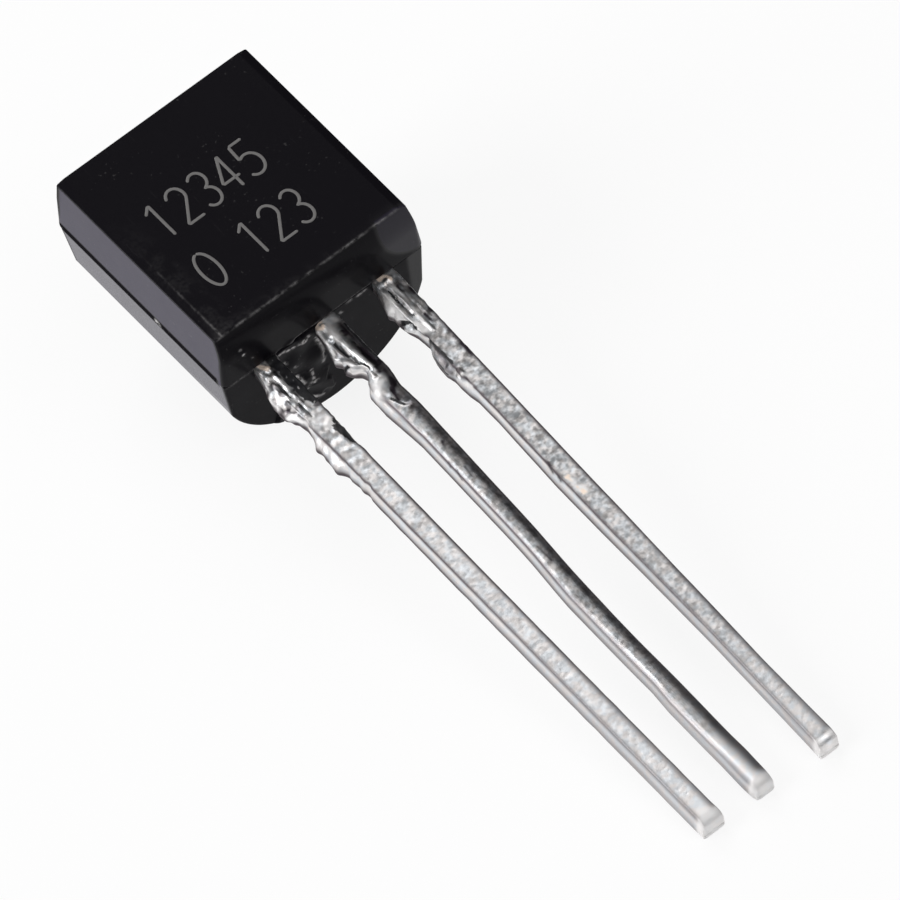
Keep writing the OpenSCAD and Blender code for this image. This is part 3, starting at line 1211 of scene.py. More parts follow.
@dataclass
class Lead:
    """One lead with the plate that it carries inside the moulding.

    The fields are millimetres. A table's rows are (distance out of the body, value), and a
    stroke's coordinates are that distance and the place round the section: across from the
    middle on the top, and on along the sides.

    Attributes:
        node: The solid that it stands for.
        seed: Seed of its noise.
        finish: Its plating.
        line: Table of the lead's middle in X.
        pin_1_edge: Table of how far the side towards pin 1 stands out.
        pin_3_edge: Table of how far the other side stands out.
        relief: Ridges and grooves.
        copper: Where the copper shows.
        resin: Where the moulding's resin covers it.
        stain_and_shade: Where it is stained dark, and where shade is painted in folds and grooves and along
            rounded edges.
        painted_highlight: Where highlights are painted white on the tin.
        roughness: Table of its roughness.
        mottle: Table of how strong its mottle is.
        lean: Table of how far the top of the side towards pin 1 leans in.
        plate: The plate's middle in X, its start in Y, its width and its length.
        short: How far its tip stays behind the full length.
        crown: How far its top falls towards its sides.
        unrest: Height of the noise near the body.
        near_body_darkening: Strength of the dark patches near the body.
        shoulder: Depth, as a share of the thickness, at which it stands out fully.
        width: Width of the lead.
        thickness: Thickness of the lead and its plate.
        length: Full length out of the body.
        tip_slope: Length of the slope at the tip.
        tip_depth: Thickness left at the tip.
        end_radius: Radius of the edges round the tip's face.
        upper_cut: Where the rounding of the upper edges starts, from the edge.
        lower_cut: Where the rounding of the lower edges starts.
        lumpy: Distances out of the body over which its lumps fade out.
        near_body_darkening_span: Distances out of the body between which the dark patches lie.
        edge_lines: Place and reach of the lines of painted shade round the section: at the two
            rounded edges of the top, and low on the side towards pin 1.
        copper_cut: Levels between which the copper sets in.
        resin_cut: Levels between which the resin sets in.
    """

    node: str
    seed: int
    finish: TinPlating
    line: tuple
    pin_1_edge: tuple
    pin_3_edge: tuple
    relief: tuple
    copper: tuple
    resin: tuple
    stain_and_shade: tuple
    painted_highlight: tuple
    roughness: tuple
    mottle: tuple
    lean: tuple
    plate: tuple
    short: float
    crown: float = 0.0
    unrest: float = 0.005
    near_body_darkening: float = 0.4
    shoulder: float = 0.6
    width: float = 0.45
    thickness: float = 0.4
    length: float = 12.5
    tip_slope: float = 0.2
    tip_depth: float = 0.2
    end_radius: float = 0.03
    upper_cut: float = 0.035
    lower_cut: float = 0.085
    lumpy: tuple = (1.6, 3.2)
    near_body_darkening_span: tuple = (0.15, 1.3)
    edge_lines: tuple = ((-0.225, 0.045), (0.21, 0.05), (-0.529, 0.13))
    copper_cut: tuple = (0.4, 0.9)
    resin_cut: tuple = (0.42, 0.55)

    @property
    def end(self) -> float:
        """Distance of the tip out of the body."""
        return self.length - self.short

    def section(self) -> tuple[np.ndarray, np.ndarray, np.ndarray]:
        """Section of the lead, as offsets across and up from the middle of its top.

        Formula: a rectangle with rounded corners, the lower ones more. A crown lowers the
        top's sides by a parabola.

        Returns:
            The offsets, the outward normals and the place of each point round the section.
        """
        w, t = self.width / 2, self.thickness
        corners = np.array([[-w, 0], [-w, -t], [w, -t], [w, 0]])
        upper, lower = (rounded_path(corners, cut, 4, closed=True).reshape(4, -1, 2)
                        for cut in (self.upper_cut, self.lower_cut))
        outline = np.concatenate([upper[0], lower[1], lower[2], upper[3], upper[0][:1]])
        outline = refined(outline, 0.02)[:-1]
        tangent = np.roll(outline, -1, axis=0) - np.roll(outline, 1, axis=0)
        normal = np.stack([-tangent[:, 1], tangent[:, 0]], axis=-1)
        normal /= np.linalg.norm(normal, axis=1, keepdims=True)
        if (normal * (outline - [0, -t / 2])).sum() < 0:
            normal = -normal
        around = outline[:, 0] + np.sign(outline[:, 0]) * -outline[:, 1]
        outline[:, 1] -= self.crown * (outline[:, 0] / w) ** 2 * step_up(outline[:, 1], -0.5 * t, 0)
        return outline, normal, around

    def stations(self) -> tuple[np.ndarray, np.ndarray, np.ndarray, np.ndarray]:
        """Places along the lead, from the plate's far edge to the tip.

        Formula: a few rings on the plate and inside the body, close ones on the lumpy
        stretch, wider ones along the plain one, and rings that crowd towards the tip. The
        tip's edge shrinks by a quarter circle of end_radius.

        Returns:
            For each ring its Y, its middle in X, its width and how far it shrinks at a
            rounded end.
        """
        plate_x, plate_y, plate_width, plate_length = self.plate
        far, end = plate_y + plate_length, self.end
        plate = [far, far - 0.012, far - 0.03, plate_y + 0.01, plate_y, plate_y - 0.002]
        root, joint = 0.25, -3.4
        inside = np.linspace(plate_y - 0.05, root + 0.05, 8)
        lumpy = np.linspace(root, joint, 190)
        plain = np.linspace(joint, self.tip_slope - end, 160)[1:]
        tip = -end + self.tip_slope * (1 - np.sin(np.linspace(0, math.pi / 2, 24)[1:]))
        y = np.concatenate([plate, inside, lumpy, plain, tip])
        on_plate = y > plate_y - 0.001
        middle = np.where(on_plate, plate_x, blended(self.line, -y, 0.6))
        width = np.where(on_plate, plate_width, self.width)
        radius = self.end_radius
        to_end = np.clip(radius - (y + end), 0, radius)
        shrink = radius - np.sqrt(np.clip(radius**2 - to_end**2, 0, None))
        shrink[:3] = [radius, 0.01, 0.0]
        return y, middle, width, shrink

    def build(self, package: PackageFrame) -> bpy.types.Object:
        """Builds the lead: its section carried along its stations.

        Formula: the side towards pin 1 leans in above its middle, and where it stands out
        it does so below its shoulder. At the tip the top slopes down as a quarter ellipse.
        Strokes and noise then move points along the section's normals.

        Args:
            package: The frame that places it.

        Returns:
            The piece.
        """
        outline, normal, around = self.section()
        y, middle, width, shrink = self.stations()
        side, up = outline.T
        out = -y[:, None]
        outside = step_up(out, 0.02, 0.12)
        depth = np.clip(-up / self.thickness, 0, 1)[None]
        across = side * ((width - 2 * shrink) / self.width)[:, None]
        lean = blended(self.lean, out, 0.2) * fade(depth, 0.0, 0.55)
        across = across - lean * 2 / self.width * np.clip(side, None, 0)
        swell = blended(self.pin_1_edge, out, 0.025)
        flare = np.where(swell > 0, step_up(depth, 0.0, self.shoulder), 1.0)
        across = across - outside * swell * flare * step_up(-side, 0, self.width / 2)
        other = blended(self.pin_3_edge, out, 0.08)
        across = across + outside * other * step_up(side, 0, self.width / 2)
        slope = np.clip(1 - (self.end - out) / self.tip_slope, 0, 1)
        drop = (self.thickness - self.tip_depth) * (1 - np.sqrt(1 - slope**2)) + shrink[:, None]
        height = -self.thickness + (up + self.thickness) * (1 - drop / self.thickness)
        height = height + shrink[:, None] * (depth > 0.5)
        rings = np.stack([middle[:, None] + across, np.broadcast_to(-out, across.shape), height], axis=-1)
        out, around = (np.broadcast_to(values, across.shape) for values in (out, around[None]))
        lift = self.lift(rings, out, around) * outside * fade(slope, 0.0, 0.5)
        rings[..., 0] += lift * normal[:, 0]
        rings[..., 2] += lift * normal[:, 1]
        masks = self.masks(rings, out, around, np.broadcast_to(depth, across.shape))
        return closed_surface(self.node.replace("_", "-"), rings, package, masks)

    def lift(self, rings: np.ndarray, out: np.ndarray, around: np.ndarray) -> np.ndarray:
        """Height of the relief: strokes made uneven by noise, lumps near the body, and waves.

        Args:
            rings: The lead's points.
            out: Each point's distance out of the body.
            around: Each point's place round the section.

        Returns:
            The height at each point, in millimetres.
        """
        strokes_height = total(self.relief, out, around)
        uneven = 1 + 60 * self.unrest * ripple(rings, self.seed, 3.0, 8.0)
        lumps = fade(out, *self.lumpy) * self.unrest * (ripple(rings, self.seed + 3, 3.0, 9.0) - 1)
        waves = 0.25 * self.unrest * ripple(rings, self.seed + 1, 1.0, 3.0)
        return strokes_height * uneven + lumps + waves

    def masks(
        self, rings: np.ndarray, out: np.ndarray, around: np.ndarray, depth: np.ndarray
    ) -> dict[str, np.ndarray]:
        """Works out where copper, resin, stains, painted shade, painted highlights, the sheared sides and
        their edges show.

        Formula: a smear's strength plus noise, cut off softly at a level. An edge's painted shade is a
        bell across the section that widens and fades towards the tip.

        Args:
            rings: The lead's points.
            out: Each point's distance out of the body.
            around: Each point's place round the section.
            depth: Each point's depth under the top, as a share of the thickness.

        Returns:
            The masks by name, as rings x points, with the roughness and the mottle.
        """
        ragged = 0.10 * ripple(rings, self.seed + 2, 2.0, 6.0)
        spots = 1 + 0.9 * ripple(rings, self.seed + 4, 4.0, 9.0)
        # Darker in patches near the body.
        patches = step_up(ripple(rings, self.seed + 5, 2.5, 6.0), 0.2, 1.0)
        patches = patches * window(out, *self.near_body_darkening_span, 0.1)
        # Stains, and shade painted in folds, grooves and along the rounded edges.
        stain_and_shade = total(self.stain_and_shade, out, around) + 0.5 * ragged * fade(out, *self.lumpy)
        far = step_up(out, 4.0, 12.0)
        # Shade painted along the rounded edges of the section.
        edge = sum(bell(around, place, reach * (1 + 0.7 * far)) for place, reach in self.edge_lines)
        edge = edge * np.where(depth > 0.5, 1.0, 0.2 + 0.8 * step_up(out, 0.9, 1.6)) * (1 - 0.4 * far)
        edge = edge * (1 - 0.8 * step_up(out, self.end - 0.08, self.end - 0.01))
        # Highlights painted white on ridges, folds and spots, and on the tip's cut face.
        painted_highlight = total(self.painted_highlight, out, around) * (1 + 3 * ragged)
        cut_face = step_up(out, self.end - 1.2 * self.tip_slope, self.end - 0.6 * self.tip_slope)
        return {
            "copper": step_up(total(self.copper, out, around) * spots, *self.copper_cut),
            "resin": step_up(total(self.resin, out, around) + ragged, *self.resin_cut),
            "stain_and_shade": np.clip(stain_and_shade + self.near_body_darkening * patches, 0, 1),
            "side": step_up(depth, 0.05, 0.15),
            "edge": np.clip(edge, 0, 1),
            "painted_highlight": np.clip(painted_highlight + 0.75 * cut_face, 0, 1),
            "roughness": blended(self.roughness, out, 0.1),
            "mottle": blended(self.mottle, out, 0.2),
        }


# ---------------------------------------------------------------- the marking


def segment(*points: tuple[float, float]) -> np.ndarray:
    """Returns the points of a straight or bent line."""
    return np.array(points)


def arc(
    middle: tuple[float, float], radius: float | tuple, start: float, end: float, points: int = 33
) -> np.ndarray:
    """Returns points of a circular or elliptic arc, the angles in degrees."""
    angle = np.radians(np.linspace(start, end, points))
    return middle + radius * np.stack([np.cos(angle), np.sin(angle)], axis=-1)


class Digit(Enum):
    """The plain digits on the flat face."""

    ZERO = 0
    ONE = 1
    TWO = 2
    THREE = 3
    FOUR = 4
    FIVE = 5

    def strokes(self) -> list[np.ndarray]:
        """Draws the digit.

        Returns:
            Its strokes, as paths in a cell 0.6 wide and 1 high.
        """
        shapes = {
            Digit.ZERO: [arc((0.3, 0.5), (0.27, 0.5), 90, 450, 41)],
            Digit.ONE: [segment((0.08, 0.8), (0.32, 1.0)), segment((0.32, 1.0), (0.32, 0.0))],
            Digit.TWO: [np.vstack([arc((0.3, 0.74), 0.26, 165, -30), segment((0.03, 0.0))]),
                        segment((0.03, 0.0), (0.58, 0.0))],
            Digit.THREE: [arc((0.3, 0.76), 0.24, 150, -85), arc((0.3, 0.26), 0.26, 90, -150)],
            Digit.FOUR: [segment((0.42, 0.0), (0.42, 1.0)), segment((0.42, 1.0), (0.0, 0.3)),
                         segment((0.0, 0.3), (0.58, 0.3))],
            Digit.FIVE: [segment((0.54, 1.0), (0.10, 1.0)), segment((0.10, 1.0), (0.07, 0.56)),
                         arc((0.27, 0.31), 0.31, 128, -140)],
        }
        return shapes[self]


@dataclass
class Marking:
    """Thin strokes burnt into the flat face: two rows of plain digits.

    The fields are millimetres.

    Attributes:
        height: Height of the flat face.
        stroke: Width of a stroke.
        proud: How far a stroke stands out.
        cell: What a digit's own units are multiplied by, across and up.
        pitch: Distance from digit to digit.
        first_x: Where the rows start in X.
        rows: Each row's place in Y and its digits.
    """

    height: float
    stroke: float = 0.058
    proud: float = 0.0025
    cell: tuple = (0.62, 0.8)
    pitch: float = 0.47
    first_x: float = -1.38
    rows: tuple = ((2.34, "12345"), (0.98, "0 123"))

    def paths(self) -> list[np.ndarray]:
        """Places the strokes of both rows.

        Returns:
            Every stroke, as a path in package X and Y.
        """
        placed = []
        for row, text in self.rows:
            for column, letter in enumerate(text):
                corner = np.array([self.first_x + column * self.pitch, row])
                drawn = Digit(int(letter)).strokes() if letter.strip() else []
                placed += [corner + stroke * self.cell for stroke in drawn]
        return placed

    def stroke_rings(self, path: np.ndarray) -> np.ndarray:
        """Sweeps a flat lens along one stroke.

        Formula: the section is an ellipse as wide as the stroke, and near each end its
        width follows a circle, so that the stroke ends round.

        Args:
            path: The stroke in package X and Y.

        Returns:
            The rings of its surface.
        """
        path = refined(path, 0.02)
        tangent = np.gradient(path, axis=0)
        tangent /= np.linalg.norm(tangent, axis=1, keepdims=True)
        normal = np.stack([-tangent[:, 1], tangent[:, 0]], axis=-1)
        travel = np.concatenate([[0], np.cumsum(np.linalg.norm(np.diff(path, axis=0), axis=1))])
        half = self.stroke / 2
        to_end = np.clip(np.minimum(travel, travel[-1] - travel) / half, 0, 1)
        wide = half * np.sqrt(np.clip(1 - (1 - to_end) ** 2, 0.02, 1))
        angle = np.linspace(0, 2 * math.pi, 10, endpoint=False)
        flat = path[:, None] + normal[:, None] * (wide[:, None] * np.cos(angle))[..., None]
        up = self.height + self.proud * np.sin(angle)[None] * np.ones((len(path), 1))
        return np.concatenate([flat, up[..., None]], axis=-1)

    def build(self, package: PackageFrame) -> bpy.types.Object:
        """Builds all strokes and joins them into one piece.

        Args:
            package: The frame that places them.

        Returns:
            The piece.
        """
        pieces = [closed_surface(f"stroke-{i}", self.stroke_rings(path), package)
                  for i, path in enumerate(self.paths())]
        with bpy.context.temp_override(active_object=pieces[0], selected_editable_objects=pieces):
            bpy.ops.object.join()
        pieces[0].name = "marking"
        return pieces[0]


# ---------------------------------------------------------------- stage, light and camera


def looking_at(target: Vector, azimuth: float, elevation: float, distance: float, roll: float) -> Matrix:
    """Places something at an angle round a target so that its -Z axis faces the target.

    Args:
        target: The point looked at.
        azimuth: Angle from -Y towards +X, in degrees.
        elevation: Angle up from the floor, in degrees.
        distance: Distance from the target, in metres.
        roll: Turn about the line of sight, in degrees.

    Returns:
        The matrix.
    """
    a, e = math.radians(azimuth), math.radians(elevation)
    away = Vector((math.sin(a) * math.cos(e), -math.cos(a) * math.cos(e), math.sin(e)))
    turn = (-away).to_track_quat("-Z", "Y").to_matrix().to_4x4()
    return Matrix.Translation(target + away * distance) @ turn @ Matrix.Rotation(math.radians(roll), 4, "Z")


@dataclass(frozen=True)
class SoftBox:
    """A square lamp that faces the part.

    Azimuth is measured from -Y towards +X, elevation up from the floor, both in degrees.
    Distance and size are metres.
    """

    name: str
    azimuth: float
    elevation: float
    distance: float
    size: float
    radiance: float

    def build(self, target: Vector) -> None:
        """Makes the lamp. Its power is its radiance times four times its area.

        Args:
            target: The point that it faces.
        """
        lamp = bpy.data.lights.new(self.name, "AREA")
        lamp.shape = "SQUARE"
        lamp.size = self.size
        lamp.energy = self.radiance * 4 * self.size**2
        box = add_object(self.name, lamp)
        box.matrix_world = looking_at(target, self.azimuth, self.elevation, self.distance, 0.0)
        box.visible_camera = False


@dataclass
class Studio:
    """The pale floor, the lamps, the world and the camera.

    Attributes:
        azimuth: Where the camera stands round the part, from -Y towards +X, in degrees.
        elevation: Its angle up from the floor, in degrees.
        roll: Its turn about the line of sight, in degrees.
        distance: Its distance from the point that it aims at, in metres.
        lens: Its focal length, in millimetres.
        aim: The point that it aims at, in package millimetres.
        floor_size: Side of the floor, in metres.
        floor_grey: Level of the floor that catches the shadows.
        floor_white: Share of the floor that is plain white to what sees it.
        world_level: Level of the world's light.
        lamps: The lamps.
    """

    azimuth: float = -22.495
    elevation: float = 46.734
    roll: float = -19.423
    distance: float = 0.30002
    lens: float = 711.02
    aim: tuple = (0.3836, -2.6324, -1.5247)
    floor_size: float = 4.0
    floor_grey: float = 0.85
    floor_white: float = 0.87
    world_level: float = 0.06
    lamps: tuple = (
        SoftBox("lamp_left", -105, 32, 0.5, 0.32, 4.8),
        SoftBox("lamp_back", 172, 40, 0.5, 0.36, 2.6),
        SoftBox("lamp_high", -128, 50, 0.5, 0.18, 1.3),
        SoftBox("lamp_front", 20, 55, 0.5, 0.38, 1.5),
    )

    def camera(self, package: PackageFrame) -> None:
        """Makes the camera, a long lens that looks down at the part.

        Args:
            package: The frame that its aim is given in.
        """
        data = bpy.data.cameras.new("camera")
        data.lens = self.lens
        data.clip_start = 0.01
        camera = add_object("camera", data)
        target = Vector(package.place(np.array(self.aim)))
        camera.matrix_world = looking_at(target, self.azimuth, self.elevation, self.distance, self.roll)
        bpy.context.scene.camera = camera

    def floor(self) -> None:
        """Makes the floor: near white when looked at or reflected, but still shaded."""
        half = self.floor_size / 2
        corners = [(-half, -half, 0), (half, -half, 0), (half, half, 0), (-half, half, 0)]
        mesh = bpy.data.meshes.new("floor")
        mesh.from_pydata(corners, [], [(0, 1, 2, 3)])
        plane = add_object("floor", mesh)
        material = bpy.data.materials.new("floor")
        material.use_nodes = True
        material.node_tree.nodes.clear()
        nodes = Nodes(material.node_tree)
        share = nodes.times(nodes.seen_by("Camera", "Transmission", "Glossy"), self.floor_white)
        paper = nodes.add("BsdfDiffuse", {"Color": grey(self.floor_grey)})
        white = nodes.add("Emission", {"Color": grey(1.0), "Strength": 1.0})
        both = nodes.add("MixShader", {0: share, 1: paper.outputs[0], 2: white.outputs[0]})
        nodes.add("OutputMaterial", {"Surface": both.outputs[0]})
        dress(plane, material)

    def world(self) -> None:
        """Makes the world: white when looked at, dim to reflections and as a light."""
        world = bpy.data.worlds.new("world")
        world.use_nodes = True
        bpy.context.scene.world = world
        nodes = Nodes(world.node_tree)
        sky = nodes.mix(nodes.seen_by("Camera", "Transmission"), grey(self.world_level), grey(1.0))
        nodes.wire(world.node_tree.nodes["Background"], {"Color": sky})

    def build(self, package: PackageFrame) -> None:
        """Builds the whole studio.

        Args:
            package: The frame that the camera's aim is given in.
        """
        self.camera(package)
        self.floor()
        self.world()
        low, high = CAD_BOX
        for lamp in self.lamps:
            lamp.build((Vector(low) + Vector(high)) / 2)
        bpy.context.scene.view_settings.view_transform = "Standard"


# ---------------------------------------------------------------- the whole part


def emitter_lead() -> Lead:
    """Describes lead 1: resin and a fold of tin by the body, and teeth of the shears beyond it.

    Returns:
        The lead, not yet built.
    """
    return Lead(
        "emitter_lead", 11, TinPlating("tin_emitter_lead", 0.60, 0.95, 0.006),
        line=((0, -1.28), (2.6, -1.363), (5.5, -1.412), (8.4, -1.442), (12.5, -1.475)),
        pin_1_edge=(
            (0.02, 0.0), (0.32, 0.065), (0.52, 0.13), (0.73, 0.165), (0.87, 0.16), (1.02, 0.13),
            (1.21, 0.02), (1.4, -0.02), (1.52, 0.0), (1.60, 0.01), (1.72, 0.05), (1.81, 0.105),
            (1.86, 0.115), (1.95, 0.09), (2.13, 0.088), (2.27, 0.115), (2.45, 0.12), (2.53, 0.06),
            (2.58, 0.03), (2.65, 0.005), (2.72, 0.024), (2.80, 0.015), (2.92, -0.01), (3.0, 0.006),
            (3.06, 0.006), (3.12, -0.018), (3.2, -0.025), (3.26, -0.005), (3.5, 0.0), (12.0, 0.0),
        ),
        pin_3_edge=((0, -0.01), (1.2, -0.01), (1.6, 0.0), (12.0, 0.0), (12.34, 0.02)),
        # A lump at the root, two ridges and two grooves along the top, a fold across the side with
        # its lip, and a dent on the other side.
        relief=strokes(
            (0.035, 0.07, (0.04, -0.16), (0.12, -0.10)),
            (0.020, 0.03, (0.1, -0.06), (0.6, -0.05), (1.3, -0.02)),
            (0.022, 0.03, (0.2, -0.17), (0.7, -0.16), (1.3, -0.12)),
            (-0.020, 0.03, (0.4, -0.11), (0.9, -0.11)),
            (-0.022, 0.025, (1.0, -0.07), (1.42, -0.06)),
            (-0.055, 0.05, (0.74, -0.46), (1.0, -0.36), (1.25, -0.28), (1.45, -0.26)),
            (0.030, 0.07, (0.98, -0.50), (1.22, -0.42)),
            (-0.030, 0.06, (1.75, 0.22), (2.05, 0.17), (2.35, 0.22)),
        ),
        copper=strokes(
            (1.2, 0.08, (0.02, -0.16), (0.12, -0.08)),
            (0.8, 0.05, (1.44, -0.27), (1.5, -0.28)),
        ),
        # A broad smear from the root, two thin lines on the top, and a patch in the dent.
        resin=strokes(
            (1.0, 0.13, (-0.1, 0.13), (0.98, 0.135), (1.15, 0.20)),
            (0.75, 0.03, (0.5, -0.11), (0.85, -0.11)),
            (0.75, 0.025, (1.05, -0.075), (1.4, -0.065)),
            (1.0, 0.05, (1.72, 0.2), (1.9, 0.09), (2.1, 0.15), (2.3, 0.2)),
            (1.0, 0.06, (1.8, 0.19), (2.25, 0.2)),
        ),
        # A line on the top, shade painted in the fold, and a faint stripe of painted shade along the
        # rounded edge towards the tip.
        stain_and_shade=strokes(
            (0.7, 0.04, (0.3, -0.02), (0.9, 0.02)),
            (0.85, 0.045, (0.77, -0.46), (1.01, -0.37), (1.29, -0.30), (1.45, -0.27)),
            (0.3, 0.08, (7.5, 0.22), (10.0, 0.20), (12.2, 0.20)),
        ),
        # Highlights painted white on the ridges of the fold and the top, on a rough patch beyond them,
        # and on two spots.
        painted_highlight=strokes(
            (0.8, 0.03, (0.15, -0.30), (0.45, -0.38)),
            (0.8, 0.05, (0.55, -0.42), (0.75, -0.46)),
            (0.9, 0.045, (1.05, -0.43), (1.35, -0.35)),
            (0.8, 0.035, (0.30, -0.15), (0.45, -0.12)),
            (0.8, 0.045, (0.85, -0.12), (1.05, -0.09)),
            (0.7, 0.04, (0.5, -0.05), (0.7, -0.03)),
            (0.7, 0.12, (1.5, -0.1), (1.75, 0.05)),
            (0.7, 0.06, (9.15, -0.10), (9.22, -0.06)),
            (0.7, 0.08, (12.05, -0.02), (12.14, 0.0)),
        ),
        roughness=((0, 0.40), (11.5, 0.42), (12.0, 0.52)),
        mottle=((0, 0.6), (1.5, 0.9), (4.0, 1.0), (6.0, 0.7), (9.0, 0.4), (12.0, 0.1)),
        lean=((1.6, 0.0), (2.4, 0.035), (6.0, 0.065), (12.5, 0.065)),
        plate=(-1.125, 1.1, 0.95, 0.65), short=0.165, unrest=0.006, near_body_darkening=0.75,
    )


def base_lead() -> Lead:
    """Describes lead 2: bent folds by the body, then a rounded top with a dark stripe along it.

    Returns:
        The lead, not yet built.
    """
    return Lead(
        "base_lead", 21, TinPlating("tin_base_lead", 0.42, 0.90, 0.0010),
        line=(
            (0, 0.0), (3.0, -0.10), (6.0, -0.20), (6.7, -0.265), (8.8, -0.345), (9.6, -0.34),
            (11.2, -0.39), (12.5, -0.40),
        ),
        pin_1_edge=(
            (0.02, 0.0), (0.4, 0.05), (0.71, 0.135), (0.81, 0.05), (0.96, 0.10), (1.1, 0.02),
            (1.19, -0.083), (1.32, -0.13), (1.51, -0.02), (1.62, 0.065), (2.07, 0.07), (2.45, 0.03),
            (3.0, -0.02), (6.2, -0.03), (7.2, -0.01), (8.5, -0.035), (9.5, -0.04), (10.0, -0.01),
            (11.4, -0.03), (12.0, -0.02), (12.25, -0.03), (12.4, -0.08),
        ),
        pin_3_edge=(
            (0, 0.0), (0.9, 0.01), (1.5, 0.03), (1.9, -0.03), (2.4, 0.0), (4.5, -0.02),
            (6.5, -0.03), (8.4, -0.02), (11.2, 0.0), (11.6, 0.01), (12.3, -0.01),
        ),
        # A lump at the root, a ridge and a groove along the top, the long fold beside them, a notch
        # across the side with its lip, the knee that the fold ends in, and small dents.
        relief=strokes(
            (0.030, 0.06, (0.03, -0.17), (0.08, -0.12)),
            (0.036, 0.06, (0.05, -0.11), (0.5, -0.09), (1.0, -0.04), (1.38, 0.02)),
            (-0.045, 0.040, (0.42, -0.17), (0.9, -0.13), (1.3, -0.07)),
            (0.045, 0.035, (0.05, -0.24), (0.35, -0.26), (0.66, -0.35), (1.0, -0.22), (1.5, -0.08)),
            (-0.050, 0.045, (0.92, -0.45), (0.97, -0.30)),
            (0.035, 0.05, (1.12, -0.40), (1.2, -0.30)),
            (0.045, 0.12, (1.68, -0.14), (1.85, -0.24)),
            (-0.024, 0.07, (2.02, -0.10), (2.28, 0.02)),
            (-0.020, 0.05, (0.5, 0.08), (1.2, 0.12)),
            (0.008, 0.05, (2.35, 0.0), (2.42, 0.15)),
        ),
        copper=strokes((1.2, 0.08, (0.0, -0.22), (0.08, -0.12))),
        # Lines in the groove, the notch and the dent, and one on the far side.
        resin=strokes(
            (0.9, 0.045, (0.5, -0.17), (0.85, -0.14), (1.3, -0.06)),
            (0.9, 0.045, (0.92, -0.48), (0.98, -0.31)),
            (0.9, 0.05, (2.05, -0.12), (2.3, -0.02)),
            (0.8, 0.05, (0.3, 0.2), (0.8, 0.18), (1.2, 0.2)),
        ),
        # Painted shade beside the ridge and behind the knee, a long stripe of it along the rounded top
        # towards pin 3, and then nicks and smudges.
        stain_and_shade=strokes(
            (0.95, 0.09, (0.3, 0.13), (1.3, 0.15), (1.8, 0.12)),
            (0.8, 0.05, (1.0, 0.07), (1.5, 0.04)),
            (0.75, 0.05, (1.9, 0.0), (2.2, -0.06)),
            (0.75, 0.13, (1.9, 0.08), (3.5, 0.095), (5.0, 0.115), (8.0, 0.13), (12.0, 0.155)),
            (0.7, 0.022, (3.72, -0.20), (3.80, -0.27)),
            (0.7, 0.022, (3.95, -0.20), (4.12, -0.28)),
            (0.35, 0.05, (4.85, -0.13), (5.5, -0.13)),
            (0.30, 0.04, (6.45, -0.12), (6.6, -0.12)),
            (0.35, 0.05, (7.2, -0.12), (7.75, -0.12)),
            (0.30, 0.05, (8.5, -0.12), (8.7, -0.12)),
            (0.5, 0.035, (3.34, 0.02), (3.42, -0.02)),
            (0.5, 0.03, (4.0, 0.0), (4.25, -0.03)),
            (0.5, 0.03, (6.1, -0.02), (6.5, 0.02)),
        ),
        # Highlights painted white on the ridge, fold, lip and knee.
        painted_highlight=strokes(
            (0.95, 0.065, (0.04, -0.07), (0.45, -0.08)),
            (0.95, 0.032, (0.45, -0.07), (0.9, -0.03), (1.35, 0.02)),
            (0.9, 0.03, (0.04, -0.24), (0.31, -0.26), (0.58, -0.32), (0.78, -0.37)),
            (0.95, 0.05, (0.72, -0.40), (0.85, -0.34)),
            (0.9, 0.03, (0.85, -0.32), (0.99, -0.22), (1.21, -0.16), (1.46, -0.10)),
            (0.9, 0.045, (1.10, -0.33), (1.22, -0.26)),
            (1.0, 0.11, (1.68, -0.12), (1.84, -0.29)),
            (0.4, 0.05, (0.10, 0.10), (0.16, 0.12)),
        ),
        roughness=((0, 0.40), (1.6, 0.36), (2.4, 0.29), (11.0, 0.29), (11.8, 0.50)),
        mottle=((0, 0.0), (1.8, 0.2), (2.4, 1.0), (9.0, 0.8), (11.0, 0.1)),
        lean=((1.6, 0.0), (2.4, 0.06), (12.5, 0.066)),
        plate=(0.125, 1.1, 0.95, 0.65), short=0.15, crown=0.045, unrest=0.0014,
    )


